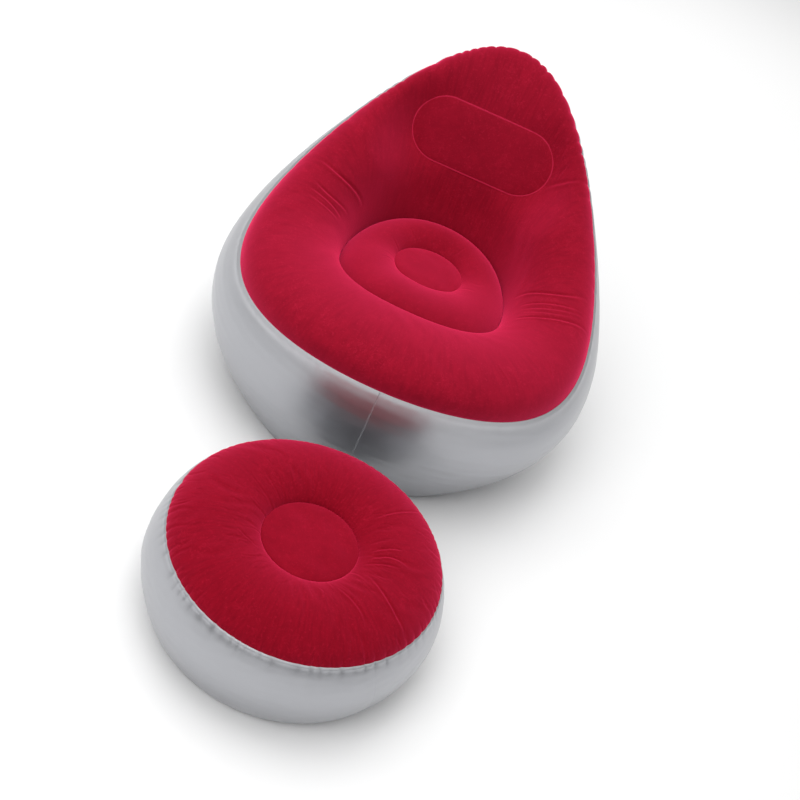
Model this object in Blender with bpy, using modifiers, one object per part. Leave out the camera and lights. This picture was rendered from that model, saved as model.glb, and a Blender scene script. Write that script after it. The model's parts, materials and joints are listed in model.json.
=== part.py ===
"""Inflatable lounge chair with its round footstool.

Both are skins of welded sheet. The chair has a flocked top, a seat ring with a
sunken disc, a headrest and a plain side wall on a flat base, and bands inside
that hold the creases down. The footstool is a turned version of the same build.
The frame's origin is on the floor under the chair, whose front faces -Y.
An angle called turn is 0 at the front of the chair and pi at its back.
"""
import math

import bmesh
import bpy
from mathutils import Matrix, Vector
from mathutils.bvhtree import BVHTree

# Sheets and welds
FLOCKED_SHEET = 0.0010
PLAIN_SHEET = 0.0006
WELD_GAP = 0.0003
WELD_WIDTH = 0.012
SEAM_ROUND = 0.004

# Rim of the chair, where the flocked top meets the side wall
RIM_HALF_WIDTH = 0.420
RIM_HALF_LENGTH = 0.488
RIM_BACKSET = -0.0125
RIM_FRONT_HEIGHT = 0.330
RIM_SIDE_HEIGHT = 0.404
RIM_BACK_HEIGHT = 0.747
RIM_FLARE_SHARE = 0.267
RIM_ROUND_SHARE = 0.042

# Base of the chair
BASE_HALF_WIDTH = 0.358
BASE_HALF_LENGTH = 0.481
BASE_BACKSET = 0.006
BASE_FLARE_SHARE = 0.125

# Side wall of the chair
WALL_FRONT_BULGE = 0.027
WALL_SIDE_BULGE = 0.095
WALL_BACK_BULGE = 0.084
WALL_FULLNESS = 0.8
WALL_ROWS = 8

# Flocked top of the chair
TOP_FRONT_CROWN = 0.070
TOP_SIDE_CROWN = 0.080
TOP_BACK_CROWN = 0.048
TOP_CROWN_LEAN = 0.80
UPPER_ROWS = 3
MIDDLE_ROWS = 4
LOWER_ROWS = 3
HEADREST_STEPS = 4
LEAST_UPPER_SHARE = 0.12
LEAST_LOWER_SHARE = 0.45
FITTED_FROM_TURN = math.radians(99.0)
FITTED_BY_TURN = math.radians(144.0)
TURN_STEPS = 20

# Crease round the seat
SEAT_HALF_WIDTH = 0.222
SEAT_HALF_LENGTH = 0.234
SEAT_BACKSET = 0.002
SEAT_FRONT_HEIGHT = 0.349
SEAT_SIDE_HEIGHT = 0.292
SEAT_BACK_HEIGHT = 0.302
SEAT_FLARE_SHARE = 0.047
SEAT_CROWN = 0.040
SEAT_FULLNESS = 0.8
SEAT_ROWS = 6

# Round disc in the middle of the seat
DISC_RADIUS = 0.090
DISC_BACKSET = 0.041
DISC_HEIGHT = 0.309
DISC_TILT = math.radians(3.0)
DISC_CROWN = 0.008
DISC_ROWS = 3

# Headrest, a flat sided oval on the slope of the back
HEADREST_HALF_LENGTH = 0.190
HEADREST_RADIUS = 0.084
HEADREST_FROM_RIM = 0.163
HEADREST_BELOW_RIM = 0.207
HEADREST_SLOPE = math.radians(62.7)
HEADREST_CROWN = 0.008
HEADREST_REACH = 0.115
HEADREST_ROWS = 4

# Air passages through the bands inside
PASSAGE_RADIUS = 0.018
PASSAGE_HEIGHT = 0.150
CUT_OVERRUN = 0.030

# Footstool
STOOL_DISTANCE = 0.902
STOOL_RIM_RADIUS = 0.290
STOOL_RIM_HEIGHT = 0.216
STOOL_BASE_RADIUS = 0.276
STOOL_BULGE = 0.034
STOOL_FULLNESS = 0.8
STOOL_CROWN = 0.040
STOOL_TOP_FULLNESS = 0.65
STOOL_DISC_RADIUS = 0.1025
STOOL_DISC_HEIGHT = 0.232
STOOL_DISC_CROWN = 0.006
STOOL_STEPS = 32
STOOL_TOP_ROWS = 8
STOOL_WALL_ROWS = 5
STOOL_PASSAGE_HEIGHT = 0.110

# Valve, measured outwards from the middle of the sheet that it is welded to
VALVE_DEPTH_SHARE = 0.75
STOOL_VALVE_DEPTH_SHARE = 0.4
STOOL_VALVE_TURN_SHARE = 0.25
VALVE_FLANGE_RADIUS = 0.021
VALVE_FLANGE_THICKNESS = 0.0012
VALVE_NECK_RADIUS = 0.0140
VALVE_NECK_WALL = 0.0024
VALVE_NECK_HEIGHT = 0.0040
VALVE_NECK_DEPTH = 0.0050
VALVE_STRAP_THICKNESS = 0.0012
VALVE_STRAP_RADIUS = 0.0150
VALVE_STRAP_WIDTH = 0.0070
VALVE_STRAP_REACH = 0.0185
VALVE_ARM_WIDTH = 0.0060
VALVE_LIP_RADIUS = 0.0135
VALVE_LIP_THICKNESS = 0.0015
VALVE_BORE_RADIUS = 0.0055
VALVE_CAP_RADIUS = 0.0130
VALVE_CAP_THICKNESS = 0.0018
VALVE_STOPPER_DEPTH = 0.0028
VALVE_STOPPER_TAPER = 0.0010
VALVE_FLAP_RADIUS = 0.0080
VALVE_FLAP_THICKNESS = 0.0010
VALVE_STEPS = 24

MERGE_DISTANCE = 0.00001
TURN_PROBE = 0.001

RED_FLOCK = (0.36, 0.010, 0.032)
SILVER_SHEET = (0.47, 0.48, 0.50)
CLEAR_GREY = (0.62, 0.63, 0.65)

UP = Vector((0.0, 0.0, 1.0))


def clear_scene():
    """Remove the objects of the scene that the script starts in."""
    for item in list(bpy.data.objects):
        bpy.data.objects.remove(item, do_unlink=True)


def new_collection(name):
    collection = bpy.data.collections.new(name)
    bpy.context.scene.collection.children.link(collection)
    return collection


def new_material(name, colour, roughness, metallic):
    material = bpy.data.materials.new(name)
    material.use_nodes = True
    shader = material.node_tree.nodes["Principled BSDF"]
    shader.inputs["Base Color"].default_value = (*colour, 1.0)
    shader.inputs["Roughness"].default_value = roughness
    shader.inputs["Metallic"].default_value = metallic
    return material


def flocked(name):
    return new_material(name + "_flock", RED_FLOCK, 0.95, 0.0)


def silver(name):
    return new_material(name + "_sheet", SILVER_SHEET, 0.38, 0.35)


def soft_plastic(name):
    return new_material(name + "_plastic", CLEAR_GREY, 0.45, 0.0)


def add_object(name, data, material, place=None, parent=None):
    """Link an object to the part's collection, under its parent."""
    item = bpy.data.objects.new(name, data)
    if material:
        data.materials.append(material)
    bpy.data.collections["lounge_chair"].objects.link(item)
    item.parent = parent
    item.matrix_local = place or Matrix.Identity(4)
    return item


def add_empty(name, place, parent=None):
    """Empty on a joint's axis or a mounting face."""
    empty = add_object(name, None, None, place, parent)
    empty.empty_display_size = VALVE_FLANGE_RADIUS
    return empty


def mirror(item):
    modifier = item.modifiers.new("mirror", "MIRROR")
    modifier.merge_threshold = MERGE_DISTANCE


def solidify(item, thickness):
    modifier = item.modifiers.new("sheet", "SOLIDIFY")
    modifier.thickness = thickness
    modifier.offset = 0.0
    modifier.use_even_offset = True


def cut(item, cutter):
    modifier = item.modifiers.new("cut", "BOOLEAN")
    modifier.operation = "DIFFERENCE"
    modifier.object = cutter


def smooth(item, limit=math.radians(40.0)):
    item.data.shade_smooth()
    item.data.set_sharp_from_angle(angle=limit)


def three_way(front, side, back, turn):
    """Smooth value that is front at 0, side at a quarter turn and back at half."""
    mean = (front + back + 2.0 * side) / 4.0
    swing = (front - back) / 2.0
    saddle = (front + back - 2.0 * side) / 4.0
    return mean + swing * math.cos(turn) + saddle * math.cos(2.0 * turn)


def arch(share):
    """Half ellipse over a chord: 0 at both ends, 1 in the middle."""
    return math.sqrt(max(0.0, 1.0 - (2.0 * share - 1.0) ** 2))


def blown(share, fullness):
    """Swell over a chord: a fullness of 0.5 is a half ellipse and 1 a flat arc."""
    return arch(share) ** (2.0 * fullness)


def crowded(share):
    """Even steps drawn towards both ends, where an arch is steep."""
    return (1.0 - math.cos(math.pi * share)) / 2.0


def smoothstep(low, high, value):
    share = min(1.0, max(0.0, (value - low) / (high - low)))
    return share * share * (3.0 - 2.0 * share)


def rim_point(turn):
    """Seam between the flocked top and the side wall, egg shaped in plan."""
    lean = math.cos(turn)
    width = RIM_HALF_WIDTH * (1.0 + RIM_FLARE_SHARE * lean + RIM_ROUND_SHARE * lean * lean)
    height = three_way(RIM_FRONT_HEIGHT, RIM_SIDE_HEIGHT, RIM_BACK_HEIGHT, turn)
    return Vector((width * math.sin(turn), RIM_BACKSET - RIM_HALF_LENGTH * lean, height))


def base_point(turn):
    """Edge of the flat base, on the floor."""
    width = BASE_HALF_WIDTH * (1.0 + BASE_FLARE_SHARE * math.cos(turn))
    return Vector((width * math.sin(turn), BASE_BACKSET - BASE_HALF_LENGTH * math.cos(turn), 0.0))


def seat_point(turn):
    """Crease round the seat, where the seat's band holds the skin down."""
    width = SEAT_HALF_WIDTH * (1.0 + SEAT_FLARE_SHARE * math.cos(turn))
    height = three_way(SEAT_FRONT_HEIGHT, SEAT_SIDE_HEIGHT, SEAT_BACK_HEIGHT, turn)
    return Vector((width * math.sin(turn), SEAT_BACKSET - SEAT_HALF_LENGTH * math.cos(turn), height))


def disc_point(turn, radius=DISC_RADIUS):
    """Edge of the seat's disc, which leans back with the seat."""
    lean = math.cos(turn)
    return Vector((radius * math.sin(turn),
                   DISC_BACKSET - radius * lean * math.cos(DISC_TILT),
                   DISC_HEIGHT + radius * lean * math.sin(DISC_TILT)))


def tangent(curve, turn):
    return (curve(turn + TURN_PROBE) - curve(turn - TURN_PROBE)).normalized()


def outward(curve, turn):
    """Level direction square to a curve seen from above."""
    along = tangent(curve, turn)
    return Vector((along.y, -along.x, 0.0)).normalized()


def weld_step(first, second):
    """Distance between the middles of two sheets that lie face to face."""
    return first / 2.0 + WELD_GAP + second / 2.0


def turns():
    """Angles of the loft's columns over the right half of the chair."""
    return [math.pi * column / TURN_STEPS for column in range(TURN_STEPS + 1)]


def loft(name, rows, left_out=()):
    """Open surface through rows of points of equal count.

    Its quads are split alike on every sheet, so that welded sheets stay parallel.
    """
    mesh = bpy.data.meshes.new(name)
    work = bmesh.new()
    grid = [[work.verts.new(point) for point in row] for row in rows]
    for row in range(len(grid) - 1):
        for column in range(len(grid[row]) - 1):
            if (row, column) in left_out:
                continue
            work.faces.new((grid[row][column], grid[row + 1][column],
                            grid[row + 1][column + 1], grid[row][column + 1]))
    bmesh.ops.remove_doubles(work, verts=work.verts, dist=MERGE_DISTANCE)
    bmesh.ops.triangulate(work, faces=work.faces, quad_method="FIXED")
    loose = [vert for vert in work.verts if not vert.link_faces]
    bmesh.ops.delete(work, geom=loose, context="VERTS")
    work.to_mesh(mesh)
    work.free()
    return mesh


def lofted_sheet(name, rows, material, thickness):
    """Half of a sheet, mirrored and given its thickness."""
    item = add_object(name, loft(name, rows), material)
    mirror(item)
    solidify(item, thickness)
    smooth(item)
    return item


def headrest_frame():
    """Axes of the headrest's plane: x across, y up the slope, z out of the back."""
    backset = RIM_BACKSET + RIM_HALF_LENGTH - HEADREST_FROM_RIM
    place = Matrix.Translation((0.0, backset, RIM_BACK_HEIGHT - HEADREST_BELOW_RIM))
    return place @ Matrix.Rotation(HEADREST_SLOPE, 4, "X")


def headrest_outline(share, inset=0.0):
    """Point on the right half of the oval, from its bottom at 0 to its top at 1."""
    radius = HEADREST_RADIUS - inset
    straight = HEADREST_HALF_LENGTH - HEADREST_RADIUS
    half_length = 2.0 * straight + math.pi * HEADREST_RADIUS
    run = share * half_length
    if run <= straight:
        return Vector((run, -radius, 0.0))
    if run >= half_length - straight:
        return Vector((half_length - run, radius, 0.0))
    angle = (run - straight) / HEADREST_RADIUS
    return Vector((straight + radius * math.sin(angle), -radius * math.cos(angle), 0.0))


def headrest_distance(point):
    """Distance of a point in the headrest's plane from its oval."""
    straight = HEADREST_HALF_LENGTH - HEADREST_RADIUS
    across = max(0.0, abs(point.x) - straight)
    return math.hypot(across, point.y) - HEADREST_RADIUS


def top_row_share(row, turn):
    """Place of a row between rim and seat; at the back rows follow the headrest."""
    first = UPPER_ROWS
    last = first + MIDDLE_ROWS
    total = last + LOWER_ROWS
    plain = crowded(row / total)
    level = headrest_frame().inverted()
    high = (level @ rim_point(turn)).y
    low = (level @ seat_point(turn)).y
    upper = max(LEAST_UPPER_SHARE, (high - HEADREST_RADIUS) / (high - low))
    lower = max(LEAST_LOWER_SHARE, (high + HEADREST_RADIUS) / (high - low))
    if row <= first:
        fitted = upper * crowded(row / first)
    elif row < last:
        fitted = upper + (lower - upper) * (row - first) / MIDDLE_ROWS
    else:
        fitted = lower + (1.0 - lower) * crowded((row - last) / LOWER_ROWS)
    weight = smoothstep(FITTED_FROM_TURN, FITTED_BY_TURN, turn)
    return plain + (fitted - plain) * weight


def crown_direction(start, end):
    """Direction square to a chord that the air pushes the skin in."""
    chord = end - start
    return (UP - chord * (UP.dot(chord) / chord.length_squared)).normalized()


def swelled(turn, share, start, end):
    """Point of the side wall between two ends, swollen level outwards."""
    bulge = three_way(WALL_FRONT_BULGE, WALL_SIDE_BULGE, WALL_BACK_BULGE, turn)
    swell = math.sin(math.pi * share) ** WALL_FULLNESS if 0.0 < share < 1.0 else 0.0
    return start.lerp(end, share) + outward(rim_point, turn) * (bulge * swell)


def rim_leave(turn, side):
    """Direction in which a skin leaves the rim: side is 1 for the top and -1 for the wall."""
    rim = rim_point(turn)
    if side > 0.0:
        return crown_direction(rim, seat_point(turn))
    return (swelled(turn, 1.0 / WALL_ROWS, rim, base_point(turn)) - rim).normalized()


def rim_fold(turn):
    """Direction of the rim's weld, into the chair, half way between the two skins."""
    along = tangent(rim_point, turn)
    above = along.cross(rim_leave(turn, 1.0)).normalized()
    below = rim_leave(turn, -1.0).cross(along).normalized()
    return -(above + below).normalized()


def rim_sheet(turn, side):
    """Middle of a sheet at the rim's weld: side is 1 for the top and -1 for the wall."""
    lift = tangent(rim_point, turn).cross(rim_fold(turn)).normalized()
    return rim_point(turn) + lift * (side * weld_step(FLOCKED_SHEET, PLAIN_SHEET) / 2.0)


def rim_rows(side):
    """Edge of a sheet's weld at the rim, the seam itself, and the seam's round shoulder."""
    fold, seam, shoulder = [], [], []
    for turn in turns():
        middle = rim_sheet(turn, side)
        fold.append(middle + rim_fold(turn) * WELD_WIDTH)
        seam.append(middle)
        shoulder.append(middle + (rim_leave(turn, side) - rim_fold(turn)).normalized() * SEAM_ROUND)
    return [fold, seam, shoulder]


def top_point(row, turn):
    """Skin of the flocked top, blown up between its seams and pulled in at the headrest."""
    start = rim_sheet(turn, 1.0)
    end = seat_point(turn) + outward(seat_point, turn) * weld_step(FLOCKED_SHEET, PLAIN_SHEET)
    share = top_row_share(row, turn)
    crown = three_way(TOP_FRONT_CROWN, TOP_SIDE_CROWN, TOP_BACK_CROWN, turn)
    push = crown_direction(start, end).lerp(UP, share ** 2).normalized()
    point = start.lerp(end, share) + push * (crown * arch(share ** TOP_CROWN_LEAN))
    frame = headrest_frame()
    local = frame.inverted() @ point
    reach = min(1.0, max(0.0, headrest_distance(local) / HEADREST_REACH))
    pulled = Vector((local.x, local.y, 0.0))
    return frame @ pulled.lerp(local, math.sin(math.pi / 2.0 * reach))


def opening_row():
    """First grid row of the headrest's opening, past the rows of the rim's weld."""
    return len(rim_rows(1.0)) - 1 + UPPER_ROWS


def headrest_border():
    """Grid places round the headrest's opening, from its bottom to its top."""
    first = opening_row()
    last = first + MIDDLE_ROWS
    edge = TURN_STEPS - HEADREST_STEPS
    border = [(last, column) for column in range(TURN_STEPS, edge, -1)]
    border += [(row, edge) for row in range(last, first, -1)]
    border += [(first, column) for column in range(edge, TURN_STEPS + 1)]
    return border


def headrest_shares():
    count = len(headrest_border()) - 1
    return [step / count for step in range(count + 1)]


def build_top():
    """Flocked top: rim weld, bolster and back, headrest opening, seat weld."""
    total = UPPER_ROWS + MIDDLE_ROWS + LOWER_ROWS
    rows = rim_rows(1.0)
    rows += [[top_point(row, turn) for turn in turns()] for row in range(1, total + 1)]
    rows += [[point - UP * WELD_WIDTH for point in rows[-1]]]
    frame = headrest_frame()
    inset = -weld_step(FLOCKED_SHEET, PLAIN_SHEET)
    border = headrest_border()
    for (row, column), share in zip(border, headrest_shares()):
        rows[row][column] = frame @ headrest_outline(share, inset)
    first = opening_row()
    opening = {(row, column)
               for row in range(first, first + MIDDLE_ROWS)
               for column in range(TURN_STEPS - HEADREST_STEPS, TURN_STEPS)}
    item = add_object("chair_flocked_top", loft("chair_flocked_top", rows, opening),
                      flocked("chair_flocked_top"))
    turn_in_opening(item.data, [rows[row][column] for row, column in border], frame)
    mirror(item)
    solidify(item, FLOCKED_SHEET)
    smooth(item)


def turn_in_opening(mesh, border, frame):
    """Fold the edge of the headrest's opening straight into the back."""
    work = bmesh.new()
    work.from_mesh(mesh)
    on_border = [vert for vert in work.verts
                 if min((vert.co - point).length for point in border) < MERGE_DISTANCE]
    edges = [edge for edge in work.edges
             if edge.is_boundary and all(vert in on_border for vert in edge.verts)]
    folded = bmesh.ops.extrude_edge_only(work, edges=edges)["geom"]
    inward = -(frame.to_3x3() @ UP) * WELD_WIDTH
    bmesh.ops.translate(work, vec=inward, verts=[part for part in folded
                                                 if isinstance(part, bmesh.types.BMVert)])
    bmesh.ops.recalc_face_normals(work, faces=work.faces)
    work.to_mesh(mesh)
    work.free()


def build_headrest():
    """Pillowed oval panel whose edge is folded in beside the opening's edge."""
    frame = headrest_frame()
    inset = weld_step(FLOCKED_SHEET, PLAIN_SHEET)
    edge = [headrest_outline(share, inset) for share in headrest_shares()]
    rows = [[frame @ (point - UP * WELD_WIDTH) for point in edge]]
    for row in range(HEADREST_ROWS + 1):
        scale = math.cos(math.pi / 2.0 * row / HEADREST_ROWS)
        rise = UP * (HEADREST_CROWN * math.sqrt(max(0.0, 1.0 - scale * scale)))
        rows.append([frame @ (point * scale + rise) for point in edge])
    lofted_sheet("chair_headrest_panel", rows, flocked("chair_headrest_panel"), FLOCKED_SHEET)


def build_seat_ring():
    """Ring of the seat between its crease and the disc."""
    step = weld_step(FLOCKED_SHEET, PLAIN_SHEET)
    outer = [seat_point(turn) - outward(seat_point, turn) * step for turn in turns()]
    inner = [disc_point(turn) + outward(disc_point, turn) * step for turn in turns()]
    rows = [[point - UP * WELD_WIDTH for point in outer]]
    for row in range(SEAT_ROWS + 1):
        share = crowded(row / SEAT_ROWS)
        rise = UP * (SEAT_CROWN * blown(share, SEAT_FULLNESS))
        rows.append([start.lerp(end, share) + rise for start, end in zip(outer, inner)])
    rows.append([point - UP * WELD_WIDTH for point in inner])
    lofted_sheet("chair_seat_ring", rows, flocked("chair_seat_ring"), FLOCKED_SHEET)


def build_seat_disc():
    """Disc in the middle of the seat, slightly crowned inside its weld."""
    radius = DISC_RADIUS - weld_step(FLOCKED_SHEET, PLAIN_SHEET)
    rows = [[disc_point(turn, radius) - UP * WELD_WIDTH for turn in turns()]]
    for row in range(DISC_ROWS + 1):
        scale = math.cos(math.pi / 2.0 * row / DISC_ROWS)
        rise = UP * (DISC_CROWN * math.sqrt(max(0.0, 1.0 - scale * scale)))
        rows.append([disc_point(turn, radius * scale) + rise for turn in turns()])
    lofted_sheet("chair_seat_disc", rows, flocked("chair_seat_disc"), FLOCKED_SHEET)


def wall_point(turn, share):
    """Skin of the side wall, from the rim at 0 to the base at 1."""
    end = base_point(turn) + UP * band_foot()
    return swelled(turn, share, rim_sheet(turn, -1.0), end)


def wall_rows():
    """Rows of the side wall, with a level patch at the back for the valve."""
    rows = [[wall_point(turn, row / WALL_ROWS) for turn in turns()]
            for row in range(WALL_ROWS + 1)]
    upper = round(VALVE_DEPTH_SHARE * WALL_ROWS)
    for row in (upper, upper + 1):
        middle, beside = rows[row][-1], rows[row][-2]
        rows[row][-2] = Vector((beside.x, middle.y, middle.z))
    return rows


def build_wall(hole):
    """Side wall of plain sheet, with its welds turned in at rim and base."""
    skin = wall_rows()
    rows = rim_rows(-1.0) + skin[1:]
    rows += [[point - outward(base_point, turn) * WELD_WIDTH
              for point, turn in zip(skin[-1], turns())]]
    item = lofted_sheet("chair_side_wall", rows, silver("chair_side_wall"), PLAIN_SHEET)
    cut(item, hole)


def build_base():
    """Flat base panel of the chair."""
    outline = [base_point(2.0 * math.pi * step / (2 * TURN_STEPS))
               for step in range(2 * TURN_STEPS)]
    curve = bpy.data.curves.new("chair_base_panel", "CURVE")
    curve.dimensions = "2D"
    curve.fill_mode = "BOTH"
    curve.extrude = PLAIN_SHEET / 2.0
    spline = curve.splines.new("POLY")
    spline.points.add(len(outline) - 1)
    for point, place in zip(spline.points, outline):
        point.co = (place.x, place.y, 0.0, 1.0)
    spline.use_cyclic_u = True
    add_object("chair_base_panel", curve, silver("chair_base_panel"),
               Matrix.Translation((0.0, 0.0, PLAIN_SHEET / 2.0)))


def band_foot():
    """Height of the middle of a band's foot, welded to the base panel."""
    return PLAIN_SHEET + WELD_GAP + PLAIN_SHEET / 2.0


def standing_band(name, curve):
    """Band from a crease straight down to the base, with its foot turned in."""
    top = [curve(turn) for turn in turns()]
    foot = [Vector((point.x, point.y, band_foot())) for point in top]
    toe = [point - outward(curve, turn) * WELD_WIDTH for point, turn in zip(foot, turns())]
    rows = [top, [point - UP * WELD_WIDTH for point in top], foot, toe]
    return lofted_sheet(name, rows, silver(name), PLAIN_SHEET)


def wall_tree():
    """Search tree on the middle of the right half of the side wall."""
    work = bmesh.new()
    work.from_mesh(loft("wall_guide", wall_rows()))
    tree = BVHTree.FromBMesh(work)
    work.free()
    return tree


def landing(tree, frame, point):
    """Where a line from the headrest straight into the back meets the side wall."""
    start = frame @ point
    inward = -(frame.to_3x3() @ UP)
    probe = Vector((max(start.x, MERGE_DISTANCE), start.y, start.z))
    spot, normal, _, _ = tree.ray_cast(probe, inward)
    if normal.dot(inward) > 0.0:
        normal = -normal
    place = spot + normal * weld_step(PLAIN_SHEET, PLAIN_SHEET)
    return Vector((place.x if start.x > 0.0 else 0.0, place.y, place.z))


def build_headrest_band(passage):
    """Band that ties the headrest's crease to the back of the side wall."""
    tree = wall_tree()
    frame = headrest_frame()
    edge = [headrest_outline(share) for share in headrest_shares()]
    toe_edge = [headrest_outline(share, WELD_WIDTH) for share in headrest_shares()]
    rows = [[frame @ point for point in edge],
            [frame @ (point - UP * WELD_WIDTH) for point in edge],
            [landing(tree, frame, point) for point in edge],
            [landing(tree, frame, point) for point in toe_edge]]
    band = lofted_sheet("chair_headrest_band", rows, silver("chair_headrest_band"), PLAIN_SHEET)
    cut(band, passage)


def add_rod(name, radius, length, place):
    """Hidden cylinder that cuts a hole."""
    bpy.ops.mesh.primitive_cylinder_add(vertices=VALVE_STEPS, radius=radius, depth=length)
    rod = bpy.context.object
    rod.name = name
    rod.matrix_world = place
    for owner in list(rod.users_collection):
        owner.objects.unlink(rod)
    bpy.data.collections["cutters"].objects.link(rod)
    rod.hide_render = True
    rod.display_type = "WIRE"
    return rod


def turned(name, profile, material, steps, place=None, parent=None, thickness=None):
    """Profile of radius and height pairs, turned about its own Z axis."""
    mesh = bpy.data.meshes.new(name)
    points = [(radius, 0.0, height) for radius, height in profile]
    count = len(points)
    closed = thickness is None and profile[0][0] > 0.0
    edges = [(step, (step + 1) % count) for step in range(count if closed else count - 1)]
    mesh.from_pydata(points, edges, [])
    item = add_object(name, mesh, material, place, parent)
    screw = item.modifiers.new("turn", "SCREW")
    screw.steps = steps
    screw.render_steps = steps
    screw.use_merge_vertices = True
    screw.merge_threshold = MERGE_DISTANCE
    screw.use_smooth_shade = True
    if thickness:
        solidify(item, thickness)
    return item


def stool_wall_profile():
    """Side wall of the footstool from rim to base, without its welds."""
    top = STOOL_RIM_HEIGHT - weld_step(FLOCKED_SHEET, PLAIN_SHEET) / 2.0
    bottom = band_foot()
    profile = []
    for row in range(STOOL_WALL_ROWS + 1):
        share = row / STOOL_WALL_ROWS
        swell = math.sin(math.pi * share) ** STOOL_FULLNESS if row < STOOL_WALL_ROWS else 0.0
        radius = STOOL_RIM_RADIUS + (STOOL_BASE_RADIUS - STOOL_RIM_RADIUS) * share
        profile.append((radius + STOOL_BULGE * swell, top + (bottom - top) * share))
    return profile


def build_stool_top(body):
    """Flocked ring on top of the footstool."""
    step = weld_step(FLOCKED_SHEET, PLAIN_SHEET)
    rim = (STOOL_RIM_RADIUS, STOOL_RIM_HEIGHT + step / 2.0)
    inner = (STOOL_DISC_RADIUS + step, STOOL_DISC_HEIGHT)
    profile = [(inner[0], inner[1] - WELD_WIDTH)]
    for row in range(STOOL_TOP_ROWS + 1):
        share = crowded(row / STOOL_TOP_ROWS)
        rise = STOOL_CROWN * blown(share, STOOL_TOP_FULLNESS)
        profile.append((inner[0] + (rim[0] - inner[0]) * share,
                        inner[1] + (rim[1] - inner[1]) * share + rise))
    profile.append((rim[0] - WELD_WIDTH, rim[1]))
    turned("footstool_flocked_top", profile, flocked("footstool_flocked_top"),
           STOOL_STEPS, parent=body, thickness=FLOCKED_SHEET)


def build_stool_disc(body):
    """Sunken disc in the middle of the footstool."""
    radius = STOOL_DISC_RADIUS - weld_step(FLOCKED_SHEET, PLAIN_SHEET)
    profile = []
    for row in range(DISC_ROWS + 1):
        angle = math.pi / 2.0 * row / DISC_ROWS
        profile.append((radius * math.sin(angle), STOOL_DISC_HEIGHT + STOOL_DISC_CROWN * math.cos(angle)))
    profile.append((radius, STOOL_DISC_HEIGHT - WELD_WIDTH))
    turned("footstool_disc", profile, flocked("footstool_disc"),
           STOOL_STEPS, parent=body, thickness=FLOCKED_SHEET)


def build_stool_wall(body, hole):
    """Side wall of the footstool, with its welds turned in."""
    skin = stool_wall_profile()
    profile = [(skin[0][0] - WELD_WIDTH, skin[0][1])] + skin
    profile.append((skin[-1][0] - WELD_WIDTH, skin[-1][1]))
    item = turned("footstool_side_wall", profile, silver("footstool_side_wall"),
                  STOOL_STEPS, parent=body, thickness=PLAIN_SHEET)
    cut(item, hole)


def build_stool_base(body):
    """Flat base panel of the footstool."""
    profile = [(0.0, PLAIN_SHEET), (STOOL_BASE_RADIUS, PLAIN_SHEET),
               (STOOL_BASE_RADIUS, 0.0), (0.0, 0.0)]
    turned("footstool_base_panel", profile, silver("footstool_base_panel"),
           STOOL_STEPS, parent=body)


def build_stool_band(body, passage):
    """Round band that holds the footstool's disc down to its base."""
    profile = [(STOOL_DISC_RADIUS, STOOL_DISC_HEIGHT),
               (STOOL_DISC_RADIUS, STOOL_DISC_HEIGHT - WELD_WIDTH),
               (STOOL_DISC_RADIUS, band_foot()),
               (STOOL_DISC_RADIUS - WELD_WIDTH, band_foot())]
    band = turned("footstool_disc_band", profile, silver("footstool_disc_band"),
                  STOOL_STEPS, parent=body, thickness=PLAIN_SHEET)
    cut(band, passage)


def facing(spot, normal):
    """Place at a spot of a wall: z out of it, y up it, x along it."""
    out = normal.normalized()
    side = UP.cross(out).normalized()
    turn = Matrix((side, out.cross(side), out)).transposed().to_4x4()
    return Matrix.Translation(spot) @ turn


def chair_valve_place():
    """Middle of the level patch at the back of the side wall."""
    row = round(VALVE_DEPTH_SHARE * WALL_ROWS)
    upper, lower = wall_rows()[row][-1], wall_rows()[row + 1][-1]
    slope = upper - lower
    return facing((upper + lower) / 2.0, Vector((0.0, slope.z, -slope.y)))


def stool_valve_place():
    """Middle of the flat of the footstool's wall that faces the chair."""
    skin = stool_wall_profile()
    row = round(STOOL_VALVE_DEPTH_SHARE * STOOL_WALL_ROWS)
    (top_radius, top), (low_radius, low) = skin[row], skin[row + 1]
    half_step = math.pi / STOOL_STEPS
    angle = half_step * (2 * round(STOOL_VALVE_TURN_SHARE * STOOL_STEPS) + 1)
    radius = (top_radius + low_radius) / 2.0 * math.cos(half_step)
    fall = (top_radius - low_radius) * math.cos(half_step)
    out = Vector((math.cos(angle), math.sin(angle), 0.0))
    return facing(out * radius + UP * ((top + low) / 2.0), out * (top - low) - UP * fall)


def add_valve_hole(name, place):
    """Cutter of the hole that a valve's neck passes through."""
    return add_rod(name, VALVE_NECK_RADIUS + WELD_GAP, VALVE_FLANGE_RADIUS, place)


def build_valve_base(owner, seat):
    """Welded flange with its neck, under and through the wall."""
    top = -PLAIN_SHEET / 2.0 - WELD_GAP
    bore = VALVE_NECK_RADIUS - VALVE_NECK_WALL
    profile = [(VALVE_NECK_RADIUS, VALVE_NECK_HEIGHT), (VALVE_NECK_RADIUS, top),
               (VALVE_FLANGE_RADIUS, top), (VALVE_FLANGE_RADIUS, top - VALVE_FLANGE_THICKNESS),
               (VALVE_NECK_RADIUS, top - VALVE_FLANGE_THICKNESS),
               (VALVE_NECK_RADIUS, -VALVE_NECK_DEPTH), (bore, -VALVE_NECK_DEPTH),
               (bore, VALVE_NECK_HEIGHT)]
    turned(owner + "_valve_base", profile, soft_plastic(owner + "_valve_base"),
           VALVE_STEPS, parent=seat)


def plug_levels():
    """Heights of the strap's ring, the lip and the top of the plug."""
    ring = VALVE_NECK_HEIGHT + WELD_GAP
    lip = ring + VALVE_STRAP_THICKNESS + WELD_GAP
    return ring, lip, lip + VALVE_LIP_THICKNESS


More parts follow.
